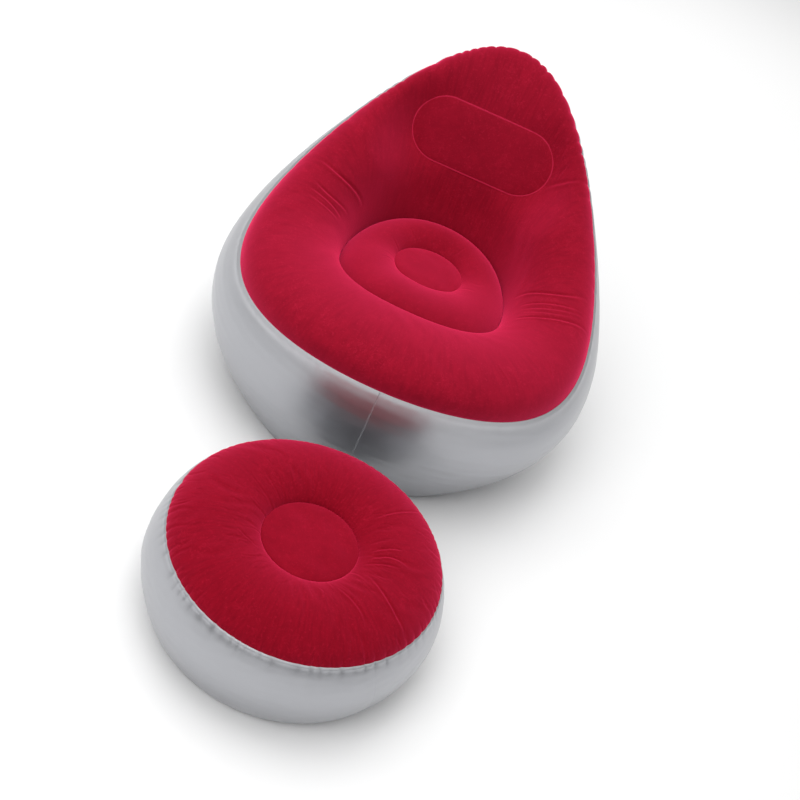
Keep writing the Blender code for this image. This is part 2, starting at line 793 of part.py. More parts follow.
def build_valve_plug(owner, slide):
    """Plug that fills the neck and pulls out to let the air go."""
    _, lip, top = plug_levels()
    barrel = VALVE_NECK_RADIUS - VALVE_NECK_WALL - WELD_GAP
    foot = -VALVE_NECK_DEPTH - VALVE_FLAP_THICKNESS
    profile = [(VALVE_BORE_RADIUS, top), (VALVE_LIP_RADIUS, top), (VALVE_LIP_RADIUS, lip),
               (barrel, lip), (barrel, foot), (VALVE_BORE_RADIUS, foot)]
    turned(owner + "_valve_plug", profile, soft_plastic(owner + "_valve_plug"),
           VALVE_STEPS, parent=slide)


def build_valve_strap(owner, slide):
    """Strap's ring round the plug, with the tab that the cap's arm bends from."""
    ring, _, _ = plug_levels()
    inner = VALVE_NECK_RADIUS - VALVE_NECK_WALL
    name = owner + "_valve_strap"
    profile = [(VALVE_STRAP_RADIUS, ring + VALVE_STRAP_THICKNESS), (VALVE_STRAP_RADIUS, ring),
               (inner, ring), (inner, ring + VALVE_STRAP_THICKNESS)]
    item = turned(name, profile, soft_plastic(name), VALVE_STEPS, parent=slide)
    tab_start = (VALVE_STRAP_RADIUS + inner) / 2.0
    length = VALVE_STRAP_REACH - tab_start
    place = Matrix.Translation((-tab_start - length / 2.0, 0.0, ring + VALVE_STRAP_THICKNESS / 2.0))
    join_block(item, (length, VALVE_STRAP_WIDTH, VALVE_STRAP_THICKNESS), place)


def join_block(item, size, place):
    """Fuse a block to a piece, in the piece's own axes."""
    bpy.ops.mesh.primitive_cube_add(size=1.0)
    block = bpy.context.object
    block.name = item.name + "_block"
    block.data.transform(place @ Matrix.Diagonal((*size, 1.0)))
    for owner in list(block.users_collection):
        owner.objects.unlink(block)
    bpy.data.collections["cutters"].objects.link(block)
    block.parent = item.parent
    block.matrix_local = item.matrix_local
    block.hide_render = True
    block.display_type = "WIRE"
    union = item.modifiers.new("block", "BOOLEAN")
    union.operation = "UNION"
    union.object = block


def build_valve_cap(owner, hinge, offset):
    """Cap with its stopper and the arm that bends at the strap's tab."""
    ring, _, top = plug_levels()
    under = top + WELD_GAP
    stopper = VALVE_BORE_RADIUS - WELD_GAP
    name = owner + "_valve_cap"
    profile = [(0.0, under + VALVE_CAP_THICKNESS), (VALVE_CAP_RADIUS, under + VALVE_CAP_THICKNESS),
               (VALVE_CAP_RADIUS, under), (stopper, under),
               (stopper - VALVE_STOPPER_TAPER, under - VALVE_STOPPER_DEPTH),
               (0.0, under - VALVE_STOPPER_DEPTH)]
    item = turned(name, profile, soft_plastic(name), VALVE_STEPS, offset, hinge)
    start = VALVE_CAP_RADIUS - VALVE_STRAP_THICKNESS
    length = VALVE_STRAP_REACH - VALVE_STRAP_THICKNESS / 2.0 - start
    arm = Matrix.Translation((-start - length / 2.0, 0.0, under + VALVE_CAP_THICKNESS / 2.0))
    join_block(item, (length, VALVE_ARM_WIDTH, VALVE_STRAP_THICKNESS), arm)
    foot = ring + VALVE_STRAP_THICKNESS + WELD_GAP
    height = under + VALVE_CAP_THICKNESS / 2.0 - foot
    drop = Matrix.Translation((VALVE_STRAP_THICKNESS / 2.0 - VALVE_STRAP_REACH, 0.0, foot + height / 2.0))
    join_block(item, (VALVE_STRAP_THICKNESS, VALVE_STRAP_WIDTH, height), drop)


def build_valve_flap(owner, hinge, offset):
    """One-way flap under the plug, which opens inwards."""
    name = owner + "_valve_flap"
    top = flap_level()
    profile = [(0.0, top), (VALVE_FLAP_RADIUS, top), (VALVE_FLAP_RADIUS, top - VALVE_FLAP_THICKNESS),
               (0.0, top - VALVE_FLAP_THICKNESS)]
    turned(name, profile, soft_plastic(name), VALVE_STEPS, offset, hinge)


def flap_level():
    return -VALVE_NECK_DEPTH - VALVE_FLAP_THICKNESS - WELD_GAP


def build_valve(owner, place, parent=None):
    """One valve: base, plug on its slide, cap and flap on their hinges."""
    seat = add_empty(owner + "_valve_seat", place, parent)
    build_valve_base(owner, seat)
    slide = add_empty(owner + "_plug_slide", Matrix.Identity(4), seat)
    build_valve_plug(owner, slide)
    build_valve_strap(owner, slide)
    ring, _, _ = plug_levels()
    cap_axis = Vector((-VALVE_STRAP_REACH, 0.0, ring + VALVE_STRAP_THICKNESS + WELD_GAP))
    cap_hinge = add_empty(owner + "_cap_hinge", Matrix.Translation(cap_axis), slide)
    build_valve_cap(owner, cap_hinge, Matrix.Translation(-cap_axis))
    flap_axis = Vector((-VALVE_FLAP_RADIUS, 0.0, flap_level()))
    flap_hinge = add_empty(owner + "_flap_hinge", Matrix.Translation(flap_axis), slide)
    build_valve_flap(owner, flap_hinge, Matrix.Translation(-flap_axis))


def crossing_rod(name, half_width, place):
    """Cutter across the whole object that opens a band on both sides."""
    across = Matrix.Rotation(math.pi / 2.0, 4, "Y")
    return add_rod(name, PASSAGE_RADIUS, 2.0 * (half_width + CUT_OVERRUN), place @ across)


def build_chair():
    """All pieces of the chair."""
    valve = chair_valve_place()
    build_top()
    build_seat_ring()
    build_seat_disc()
    build_headrest()
    build_wall(add_valve_hole("chair_valve_hole", valve))
    build_base()
    level = Matrix.Translation((0.0, SEAT_BACKSET, PASSAGE_HEIGHT))
    cut(standing_band("chair_seat_band", seat_point),
        crossing_rod("chair_seat_passage", SEAT_HALF_WIDTH, level))
    level = Matrix.Translation((0.0, DISC_BACKSET, PASSAGE_HEIGHT))
    cut(standing_band("chair_disc_band", disc_point),
        crossing_rod("chair_disc_passage", DISC_RADIUS, level))
    behind = headrest_frame() @ Matrix.Translation((0.0, 0.0, -HEADREST_RADIUS))
    build_headrest_band(crossing_rod("headrest_passage", HEADREST_HALF_LENGTH, behind))
    build_valve("chair", valve)


def build_footstool():
    """All pieces of the footstool, on the body that slides on the floor."""
    place = Matrix.Translation((0.0, -STOOL_DISTANCE, 0.0))
    body = add_empty("footstool_body", place)
    valve = stool_valve_place()
    build_stool_top(body)
    build_stool_disc(body)
    build_stool_wall(body, add_valve_hole("footstool_valve_hole", place @ valve))
    build_stool_base(body)
    level = place @ Matrix.Translation((0.0, 0.0, STOOL_PASSAGE_HEIGHT))
    build_stool_band(body, crossing_rod("footstool_passage", STOOL_DISC_RADIUS, level))
    build_valve("footstool", valve, body)


def main():
    clear_scene()
    new_collection("lounge_chair")
    new_collection("cutters")
    build_chair()
    build_footstool()


main()
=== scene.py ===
"""Looks of the inflatable lounge chair and its round footstool.

Both are skins of welded sheet blown up from inside: a flocked crimson top on a
silver side wall. Every skin here is a surface of two parameters. The angle turn
runs round a body from 0 at its front (-Y) through a quarter at its right (+X),
and share runs across a skin from its outer seam at 0 to its inner seam at 1.
"""
import json
import logging
import math
from collections.abc import Callable
from dataclasses import dataclass, field, replace
from enum import Enum
from typing import NamedTuple

import bmesh
import bpy
import numpy as np
from mathutils import Matrix, Vector


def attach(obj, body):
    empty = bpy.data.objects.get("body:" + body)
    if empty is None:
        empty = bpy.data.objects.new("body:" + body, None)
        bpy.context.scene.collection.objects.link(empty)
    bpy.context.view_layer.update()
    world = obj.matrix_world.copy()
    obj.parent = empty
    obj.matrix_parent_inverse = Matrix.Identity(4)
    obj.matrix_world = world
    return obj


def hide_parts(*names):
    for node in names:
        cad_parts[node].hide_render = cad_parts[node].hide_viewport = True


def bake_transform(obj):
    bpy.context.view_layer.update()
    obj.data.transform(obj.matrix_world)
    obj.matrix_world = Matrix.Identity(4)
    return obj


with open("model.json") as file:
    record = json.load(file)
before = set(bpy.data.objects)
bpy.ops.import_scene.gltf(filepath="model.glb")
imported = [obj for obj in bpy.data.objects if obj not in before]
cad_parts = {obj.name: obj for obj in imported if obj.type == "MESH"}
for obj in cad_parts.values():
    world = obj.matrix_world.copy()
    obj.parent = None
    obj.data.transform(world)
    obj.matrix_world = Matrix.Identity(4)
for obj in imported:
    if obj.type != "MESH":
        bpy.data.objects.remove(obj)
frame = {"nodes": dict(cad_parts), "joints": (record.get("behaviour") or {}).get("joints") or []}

Array = np.ndarray
Colour = tuple[float, float, float]
Outline = list[tuple[float, float]]
Item = bpy.types.Object
Material = bpy.types.Material

UP = np.array((0.0, 0.0, 1.0))
ROUND = 2.0 * np.pi
# A line's direction is read this far either side of an angle, and a weld's fold at this share.
TURN_PROBE = 0.001
FOLD_PROBE = 0.03
# Metres: from a seam to each of its sheets, from the floor to the wall, and the welded hem.
SHEET_GAP = 0.0004
BASE_GAP = 3.0 * SHEET_GAP
WELD_WIDTH = 0.012

log = logging.getLogger("lounge_chair")


class Facing(Enum):
    """Side of a grid that shows: its columns run to the right as its rows run up, or down."""

    ROWS_UP = 1
    ROWS_DOWN = -1


class Heights(NamedTuple):
    """A size that varies round a body: its values at the front, the sides and the back."""

    front: float
    side: float
    back: float

    @classmethod
    def even(cls, value: float) -> "Heights":
        """The same value all round."""
        return cls(value, value, value)

    def at(self, turn: Array) -> Array:
        """Smooth value at an angle: a constant, a cosine and a double cosine through the three."""
        mean = (self.front + self.back + 2.0 * self.side) / 4.0
        swing = (self.front - self.back) / 2.0
        saddle = (self.front + self.back - 2.0 * self.side) / 4.0
        return mean + swing * np.cos(turn) + saddle * np.cos(2.0 * turn)


def unit(vectors: Array) -> Array:
    """Vectors scaled to length one along the last axis."""
    return vectors / np.maximum(np.linalg.norm(vectors, axis=-1, keepdims=True), 1e-12)


def blown(share: Array, fullness: float) -> Array:
    """Swell over a chord: 1 less the square of (2 share - 1), to the power of a fullness."""
    return np.maximum(0.0, 1.0 - (2.0 * share - 1.0) ** 2) ** fullness


def crowded(count: int) -> Array:
    """Steps from 0 to 1 drawn towards both ends: half of 1 less the cosine of an even turn."""
    return (1.0 - np.cos(np.linspace(0.0, np.pi, count))) / 2.0


def smoothstep(low: float, high: float, value: Array) -> Array:
    """Cubic step from 0 at low to 1 at high."""
    share = np.clip((value - low) / (high - low), 0.0, 1.0)
    return share * share * (3.0 - 2.0 * share)


def turns(count: int) -> Array:
    """Even angles once round a body, starting at its back."""
    return np.linspace(-np.pi, np.pi, count, endpoint=False)


def grid(columns: int, rows: int) -> tuple[Array, Array]:
    """One row of even angles, and one column of shares that crowd at both seams."""
    return turns(columns)[None, :], crowded(rows)[:, None]


def wander(turn: Array, seed: int, lowest: int, highest: int) -> Array:
    """Smooth closed noise of about unit size: cosines of whole orders with seeded phases.

    Args:
        turn: angles round the body.
        seed: start of the random phases.
        lowest: lowest number of waves round the body.
        highest: highest number of waves round the body.

    Returns:
        The sum of the cosines at each angle, over the root of half their number.
    """
    orders = np.arange(lowest, highest + 1)
    phases = np.random.default_rng(seed).uniform(0.0, ROUND, orders.size)
    waves = np.cos(turn[..., None] * orders + phases)
    return waves.sum(axis=-1) / math.sqrt(orders.size / 2.0)


def ripples(places: Array, seed: int, wavelength: float) -> Array:
    """Smooth noise of about unit size on a level surface: cosines of seeded plane waves.

    Args:
        places: points whose first two coordinates count.
        seed: start of the random directions and phases.
        wavelength: mean length of the waves in metres.

    Returns:
        The sum of twelve cosines at each point, over the root of six.
    """
    rng = np.random.default_rng(seed)
    heading, phase = rng.uniform(0.0, ROUND, (2, 12))
    pitch = ROUND / (wavelength * rng.uniform(0.6, 1.7, 12))
    waves = np.stack((np.cos(heading), np.sin(heading))) * pitch
    return np.cos(places[..., :2] @ waves + phase).sum(axis=-1) / math.sqrt(6.0)


@dataclass(frozen=True)
class Loop:
    """Egg-shaped closed line round a body, such as its rim, its base or a crease."""

    half_width: float
    half_length: float
    backset: float
    heights: Heights
    flare_share: float = 0.0
    round_share: float = 0.0
    square_share: float = 0.0

    def at(self, turn: Array) -> Array:
        """Points of the line, with cos the cosine of the angle.

        Across lies half width times (1 + flare cos + round cos squared) times the sine, and
        along lies half length times cos times (1 + square (1 - cos squared)).
        """
        lean = np.cos(turn)
        width = self.half_width * (1.0 + self.flare_share * lean + self.round_share * lean**2)
        along = self.backset - self.half_length * lean * (1.0 + self.square_share * (1.0 - lean**2))
        return np.stack((width * np.sin(turn), along, self.heights.at(turn)), axis=-1)

    def tangent(self, turn: Array) -> Array:
        """Direction in which the line runs as the angle grows."""
        return unit(self.at(turn + TURN_PROBE) - self.at(turn - TURN_PROBE))

    def outward(self, turn: Array) -> Array:
        """Level direction square to the line seen from above."""
        along = self.tangent(turn)
        level = np.stack((along[..., 1], -along[..., 0], np.zeros_like(along[..., 0])), axis=-1)
        return unit(level)

    def scaled(self, turn: Array, share: Array) -> Array:
        """Points of the line drawn in towards its middle, which a share of 0 reaches."""
        edge = self.at(turn)
        middle = np.array((0.0, self.backset, self.heights.at(np.array(np.pi / 2.0))))
        return middle + (edge - middle) * share[..., None]


@dataclass(frozen=True)
class Puckers:
    """Gathers along a weld: narrow notches between rounded lobes, which die out from the seam."""

    count: int
    depths: Heights
    reach: float
    seed: int

    def notch(self, turn: Array) -> Array:
        """1 less the root of a rectified sine whose phase wanders, times a wandering strength."""
        phase = turn * self.count / 2.0 + 1.5 * wander(turn, self.seed, 3, 17)
        strength = np.clip(0.80 + 0.24 * wander(turn, self.seed + 1, 5, 41), 0.25, 1.25)
        return strength * (1.0 - np.sqrt(np.abs(np.sin(phase))))

    def depth(self, turn: Array, distance: Array) -> Array:
        """Depth of the gathers at a distance from the seam: it halves with every reach or so."""
        return self.depths.at(turn) * self.notch(turn) * np.exp(-distance / self.reach)


class Crease(NamedTuple):
    """One crease: the angles in degrees that it passes at some shares, its width and depth."""

    angles: tuple[float, ...]
    shares: tuple[float, ...]
    width: float
    depth: float


@dataclass(frozen=True)
class Folds:
    """Creases that run across a skin, each a valley with a low ridge on its front side.

    A crease's middle line is a parabola: its angle in degrees is a quadratic function
    of share, whose three factors are a row of lines.
    """

    lines: Array
    spans: Array
    widths: Array
    depths: Array

    @classmethod
    def traced(cls, creases: list[Crease]) -> "Folds":
        """Folds along the parabolas that lie nearest to the points of creases."""
        lines = [np.polyfit(crease.shares, crease.angles, 2) for crease in creases]
        spans = [(crease.shares[0], crease.shares[-1]) for crease in creases]
        return cls(np.array(lines), np.array(spans), np.array([crease.width for crease in creases]),
                   np.array([crease.depth for crease in creases]))

    @classmethod
    def scattered(cls, seed: int, count: int, shares: tuple[float, float], length: float,
                  width: float, depth: float, bend_deg: float, even: bool = True) -> "Folds":
        """Seeded folds round a whole body.

        Args:
            seed: start of the random sizes.
            count: how many folds.
            shares: where the folds begin, as the lowest and highest share.
            length: mean length of a fold, as a share of the skin.
            width: mean width in metres.
            depth: mean depth in metres.
            bend_deg: the most that a fold leans or bends aside, in degrees.
            even: whether the folds stand at even steps round the body before they are shaken.

        Returns:
            The folds. With u running from 0 to 1 along a fold, its angle is its place
            plus lean times u plus bend times 4 u (1 - u).
        """
        rng = np.random.default_rng(seed)
        step = 360.0 / count
        places = np.arange(count) * step + rng.uniform(-0.45, 0.45, count) * step
        if not even:
            places = rng.uniform(0.0, 360.0, count)
        starts = rng.uniform(shares[0], shares[1], count)
        lengths = length * rng.uniform(0.45, 1.5, count)
        lean, bend = rng.uniform(-bend_deg, bend_deg, (2, count))
        square = -4.0 * bend / lengths**2
        slope = (lean + 4.0 * bend) / lengths
        lines = np.stack((square, slope - 2.0 * square * starts,
                          places - slope * starts + square * starts**2), axis=-1)
        return cls(lines, np.stack((starts, starts + lengths), axis=-1),
                   width * rng.uniform(0.6, 1.5, count), depth * rng.uniform(0.35, 1.4, count))

    @classmethod
    def joined(cls, *groups: "Folds") -> "Folds":
        """All the folds of some groups."""
        names = ("lines", "spans", "widths", "depths")
        return cls(*(np.concatenate([getattr(group, name) for group in groups]) for name in names))

    def height(self, turn: Array, share: Array, metres_per_turn: Array) -> Array:
        """Height of all the folds, in metres, on a grid.

        Across a fold lies minus a bell, plus 0.55 of a wider bell on its front side, and
        along it the height rises and falls as a powered sine.

        Args:
            turn: angles of the grid's columns, one row.
            share: shares of the grid's rows, one column.
            metres_per_turn: how far apart columns lie, in metres for each radian.

        Returns:
            Heights along the skin's normal.
        """
        total = np.zeros_like(metres_per_turn)
        for line, span, width, depth in zip(self.lines, self.spans, self.widths, self.depths):
            along = np.clip((share - span[0]) / (span[1] - span[0]), 0.0, 1.0)
            middle = np.radians(np.polyval(line, share))
            offset = np.mod(turn - middle + np.pi, ROUND) - np.pi
            across = -np.sign(middle) * offset * metres_per_turn / width
            bells = 0.55 * np.exp(-(((across - 1.5) / 1.1) ** 2)) - np.exp(-across**2)
            total += depth * np.sin(np.pi * along) ** 0.7 * bells
        return total


def linked(name: str, data: bpy.types.ID) -> Item:
    """New object of a mesh, a lamp or a camera, in the scene."""
    item = bpy.data.objects.new(name, data)
    bpy.context.scene.collection.objects.link(item)
    return item


def meshed(name: str, points: Array, faces: list) -> Item:
    """New smooth object of points and faces."""
    mesh = bpy.data.meshes.new(name)
    mesh.from_pydata(points.tolist(), [], faces)
    mesh.shade_smooth()
    return linked(name, mesh)


class Skin:
    """Grid of points of one sheet, rows from seam to seam and closed columns round it."""

    def __init__(self, points: Array, facing: Facing = Facing.ROWS_UP) -> None:
        """Keep the points.

        Args:
            points: array of rows by columns by 3, in metres.
            facing: which side of the grid shows.
        """
        self.points = points
        self.facing = facing
        self.fields: dict[str, Array] = {}

    def lengths(self) -> Array:
        """Length down each column from its first row: the running sum of the steps."""
        steps = np.linalg.norm(np.diff(self.points, axis=0), axis=-1)
        return np.concatenate((np.zeros((1, steps.shape[1])), np.cumsum(steps, axis=0)))

    def metres_per_turn(self) -> Array:
        """Distance between neighbouring columns, for each radian of turn."""
        steps = np.roll(self.points, -1, axis=1) - np.roll(self.points, 1, axis=1)
        return np.linalg.norm(steps, axis=-1) * self.points.shape[1] / (2.0 * ROUND)

    def normals(self) -> Array:
        """Unit normals on the side that shows: along the row crossed with down the column."""
        along = np.roll(self.points, -1, axis=1) - np.roll(self.points, 1, axis=1)
        down = np.gradient(self.points, axis=0)
        return unit(np.cross(along, down)) * self.facing.value

    def raised(self, height: Array) -> "Skin":
        """The skin with each point moved along its normal by a height."""
        self.points = self.points + self.normals() * height[..., None]
        return self

    def edged(self, shift: Array) -> "Skin":
        """The skin with one more row before its first, moved from it by a shift."""
        self.points = np.concatenate((self.points[:1] + shift, self.points))
        return self

    def mesh_object(self, name: str, keep: Array | None = None, pole: bool = False) -> Item:
        """Build the mesh.

        Args:
            name: the object's name.
            keep: mask of the quads to keep, rows less one by columns.
            pole: whether the last row has shrunk to one point, which closes the skin.

        Returns:
            The linked object, smooth shaded, with a UV map and the skin's fields.
        """
        rows, columns = self.points.shape[:2]
        index = np.arange(rows * columns).reshape(rows, columns)
        after = np.roll(index, -1, axis=1)
        quads = np.stack((index[:-1], after[:-1], after[1:], index[1:]), axis=-1)
        first = np.stack(np.meshgrid(np.arange(columns), np.arange(rows - 1)), axis=-1)
        corners = first[:, :, None] + np.array(((0, 0), (1, 0), (1, 1), (0, 1)))
        corners = corners / (columns, rows - 1)
        kept = np.ones(quads.shape[:2], bool) if keep is None else keep.copy()
        kept[-1] &= not pole
        faces, maps = quads[kept].tolist(), corners[kept].reshape(-1, 2)
        if pole:
            tip = np.full(columns, index[-1, 0])
            faces += np.stack((index[-2], after[-2], tip), axis=-1).tolist()
            maps = np.concatenate((maps, corners[-1, :, :3].reshape(-1, 2)))
        if self.facing is Facing.ROWS_DOWN:
            faces = [face[::-1] for face in faces]
            ends = np.cumsum([len(face) for face in faces])[:-1]
            maps = np.concatenate([corner[::-1] for corner in np.split(maps, ends)])
        return self.mapped(name, faces, maps)

    def mapped(self, name: str, faces: list, maps: Array) -> Item:
        """Object of the points that the faces use, with its UV map and the skin's fields."""
        points = self.points.reshape(-1, 3)
        used = np.zeros(len(points), bool)
        used[np.concatenate(faces)] = True
        renumbered = np.cumsum(used) - 1
        item = meshed(name, points[used], [renumbered[face].tolist() for face in faces])
        layer = item.data.uv_layers.new(name="UVMap")
        layer.data.foreach_set("uv", maps.astype(np.float32).ravel())
        for title, values in self.fields.items():
            attribute = item.data.attributes.new(title, "FLOAT", "POINT")
            attribute.data.foreach_set("value", values.ravel()[used].astype(np.float32))
        return item


def placed(place: Matrix, points: Array) -> Array:
    """Points given in a place's own axes, in the object's frame."""
    return points @ np.array(place.to_3x3()).T + np.array(place.translation)


def lathed(place: Matrix, profile: Array, steps: int) -> Array:
    """Turned grid: a profile carried once round a place's Z axis.

    Args:
        place: the place of the turned piece.
        profile: rows of radius and height.
        steps: number of columns.

    Returns:
        Points of rows by steps by 3 in the object's frame.
    """
    angle = turns(steps)[None, :]
    radius, height = profile[:, :1], profile[:, 1:]
    parts = np.broadcast_arrays(radius * np.cos(angle), radius * np.sin(angle), height)
    return placed(place, np.stack(parts, axis=-1))


def closed(item: Item, ends_open: bool = False) -> Item:
    """Make a tube one closed surface whose faces look outwards.

    Args:
        item: the tube.
        ends_open: whether it has two open ends to fill; if not, its first and last rows
            are the same points, which are merged.

    Returns:
        The same object.
    """
    work = bmesh.new()
    work.from_mesh(item.data)
    if ends_open:
        ends = [edge for edge in work.edges if edge.is_boundary]
        bmesh.ops.holes_fill(work, edges=ends, sides=0)
    else:
        bmesh.ops.remove_doubles(work, verts=work.verts, dist=1e-6)
    bmesh.ops.recalc_face_normals(work, faces=work.faces)
    work.to_mesh(item.data)
    work.free()
    return item


def rounded(corners: Outline, radius: float, steps: int = 5) -> Array:
    """Closed or open outline with its inner corners rounded by a quadratic arc.

    Args:
        corners: points of the outline.
        radius: how far from a corner its arc starts, at most 0.45 of either side.
        steps: points on each arc.

    Returns:
        Points: each inner corner c between p and n becomes (1-u)^2 a + 2u(1-u) c + u^2 b,
        where a and b lie on the two sides.
    """
    points = np.array(corners, dtype=float)
    share = np.linspace(0.0, 1.0, steps)[:, None]
    pieces = [points[:1]]
    for before, corner, after in zip(points[:-2], points[1:-1], points[2:]):
        back, ahead = before - corner, after - corner
        near = min(radius, 0.45 * np.linalg.norm(back))
        far = min(radius, 0.45 * np.linalg.norm(ahead))
        first = corner + back / np.linalg.norm(back) * near
        last = corner + ahead / np.linalg.norm(ahead) * far
        pieces.append((1 - share) ** 2 * first + 2 * share * (1 - share) * corner + share**2 * last)
    pieces.append(points[-1:])
    return np.concatenate(pieces)


def operation(name: str, swapped: bool = False) -> Callable:
    """Method that joins a signal and another value, swapped if asked, by a Math node."""

    def joined(self: "Signal", other: "Signal | float") -> "Signal":
        """Math node of the two values."""
        first, second = (other, self) if swapped else (self, other)
        return self.shading.node("ShaderNodeMath", {"operation": name}, {0: first, 1: second})

    return joined


class Signal:
    """Output of a shader node that takes part in sums as a number does."""

    def __init__(self, shading: "Shading", socket: bpy.types.NodeSocket) -> None:
        """Keep the socket and the tree that it belongs to."""
        self.shading = shading
        self.socket = socket

    __add__ = __radd__ = operation("ADD")
    __sub__ = operation("SUBTRACT")
    __rsub__ = operation("SUBTRACT", swapped=True)
    __mul__ = __rmul__ = operation("MULTIPLY")
    __pow__ = operation("POWER")

    def stepped(self, low: float, high: float) -> "Signal":
        """Smooth step from 0 at low to 1 at high."""
        return self.shading.node("ShaderNodeMapRange", {"interpolation_type": "SMOOTHSTEP"},
                                 {"Value": self, "From Min": low, "From Max": high})


class Shading:
    """A material's node tree, with one way to add any node."""

    def __init__(self, name: str) -> None:
        """Start a material with its Principled shader and the object's own coordinates."""
        self.material = bpy.data.materials.new(name)
        self.material.use_nodes = True
        self.tree = self.material.node_tree
        self.shader = self.tree.nodes["Principled BSDF"]
        self.place = self.node("ShaderNodeTexCoord", output="Object")

    def feed(self, socket: bpy.types.NodeSocket, value: "Signal | float | tuple") -> None:
        """Link a signal to a socket, or set the socket's own value."""
        if isinstance(value, Signal):
            self.tree.links.new(value.socket, socket)
        elif isinstance(value, tuple) and socket.type == "RGBA":
            socket.default_value = (*value, 1.0)
        else:
            socket.default_value = value

    def node(self, kind: str, settings: dict | None = None, values: dict | None = None,
             output: int | str = 0) -> Signal:
        """Add a node.

        Args:
            kind: the node's type.
            settings: its properties, such as a Math node's operation, set first.
            values: numbers, colours or signals for its sockets, by name or index.
            output: which output to hand back.

        Returns:
            The chosen output.
        """
        made = self.tree.nodes.new(kind)
        for key, value in (settings or {}).items():
            setattr(made, key, value)
        for key, value in (values or {}).items():
            self.feed(made.inputs[key], value)
        return Signal(self, made.outputs[output])

    def noise(self, scale: float, detail: float = 2.0, where: Signal | None = None,
              roughness: float = 0.5, distortion: float = 0.0) -> Signal:
        """Noise from 0 to 1 with a number of features for each metre."""
        return self.node("ShaderNodeTexNoise", None,
                         {"Vector": where or self.place, "Scale": scale, "Detail": detail,
                          "Roughness": roughness, "Distortion": distortion})

    def mixed(self, share: Signal | float, first: Colour | Signal,
              second: Colour | Signal) -> Signal:
        """Colour between two colours."""
        return self.node("ShaderNodeMix", {"data_type": "RGBA"}, {0: share, 6: first, 7: second}, 2)

    def field(self, name: str) -> Signal:
        """A number that the mesh carries at each point."""
        return self.node("ShaderNodeAttribute", {"attribute_name": name}, None, "Fac")

    def bump(self, height: Signal, strength: float, distance: float,
             below: Signal | None = None) -> Signal:
        """Bump from a height, over another bump where one is given."""
        values = {"Height": height, "Strength": strength, "Distance": distance}
        if below:
            values["Normal"] = below
        return self.node("ShaderNodeBump", None, values)

    def dress(self, **values: "Signal | float | tuple") -> Material:
        """Set the Principled shader's sockets, by their names with _ for a space."""
        for key, value in values.items():
            self.feed(self.shader.inputs[key.replace("_", " ")], value)
        return self.material


@dataclass(frozen=True)
class FlockFinish:
    """Short crimson pile on vinyl: matt, faintly mottled, flecked, light at grazing angles by real
    and painted sheen.
    """

    name: str = "crimson_flock"
    deep: Colour = (0.188, 0.0028, 0.0120)
    light: Colour = (0.290, 0.0048, 0.0190)
    fleck: Colour = (0.440, 0.0130, 0.0420)
    # Painted sheen: this colour is mixed into the base colour where the surface is seen edge-on.
    painted_sheen: Colour = (0.520, 0.0150, 0.0580)
    sheen_tint: Colour = (1.0, 0.05, 0.17)
    sheen: float = 1.0
    combed: float = 0.0
    fleck_share: float = 0.30
    wisp_share: float = 0.30
    # Most share of the painted sheen, reached where the surface is seen edge-on.
    painted_sheen_share: float = 0.68
    pile_scale: float = 1400.0
    fleck_scale: float = 210.0
    streak_scale: float = 60.0
    wisp_scale: float = 34.0
    wisp_patch_scale: float = 14.0
    brushed_scale: float = 7.0
    wisp_width: float = 0.022
    stroke_scale: tuple[float, float, float] = (260.0, 7.0, 1.0)

    def material(self) -> Material:
        """Material: base colour from brushed patches, pale flecks and a painted sheen, bump from
        the pile.
        """
        shading = Shading(self.name)
        brushed = shading.noise(self.brushed_scale, 3.0, roughness=0.6)
        streaks = shading.noise(self.streak_scale, 4.0, roughness=0.65)
        pile = shading.noise(self.pile_scale)
        patches = (brushed * 0.35 + streaks * 0.35 + pile * 0.30).stepped(0.22, 0.78)
        if self.combed:
            patches = patches * (1.0 - self.combed) + self.strokes(shading) * self.combed
        flecks = shading.noise(self.fleck_scale).stepped(0.57, 0.74) * self.fleck_share
        colour = shading.mixed(flecks, shading.mixed(patches, self.deep, self.light), self.fleck)
        colour = shading.mixed(self.wisps(shading) * self.wisp_share, colour, self.fleck)
        # Painted sheen: the base colour turns a lighter pink as the surface turns edge-on to the
        # view.
        facing = shading.node("ShaderNodeLayerWeight", None, {"Blend": 0.5}, "Facing")
        colour = shading.mixed(facing**1.5 * self.painted_sheen_share, colour, self.painted_sheen)
        lumps = shading.bump(streaks, 0.10, 0.0006)
        normal = shading.bump(pile, 0.35, 0.0004, lumps)
        return shading.dress(Base_Color=colour, Roughness=0.86 + pile * 0.12, Normal=normal,
                             Sheen_Weight=self.sheen, Sheen_Roughness=0.45,
                             Sheen_Tint=self.sheen_tint, Specular_IOR_Level=0.08)

    def wisps(self, shading: Shading) -> Signal:
        """Curly light marks in the crushed pile: thin level lines of a twisted noise."""
        twisted = shading.noise(self.wisp_scale, 3.0, roughness=0.55, distortion=1.6)
        away = shading.node("ShaderNodeMath", {"operation": "ABSOLUTE"}, {0: twisted - 0.5})
        patches = shading.noise(self.wisp_patch_scale).stepped(0.46, 0.62)
        return (1.0 - away.stepped(0.0, self.wisp_width)) * patches

    def strokes(self, shading: Shading) -> Signal:
        """Strokes of the pile that run from seam to seam: noise stretched along the skin's map."""
        across = shading.node("ShaderNodeMapping", None,
                              {"Vector": shading.node("ShaderNodeTexCoord", output="UV"),
                               "Scale": self.stroke_scale})
        return shading.noise(1.0, 4.0, across, 0.6).stepped(0.30, 0.70)


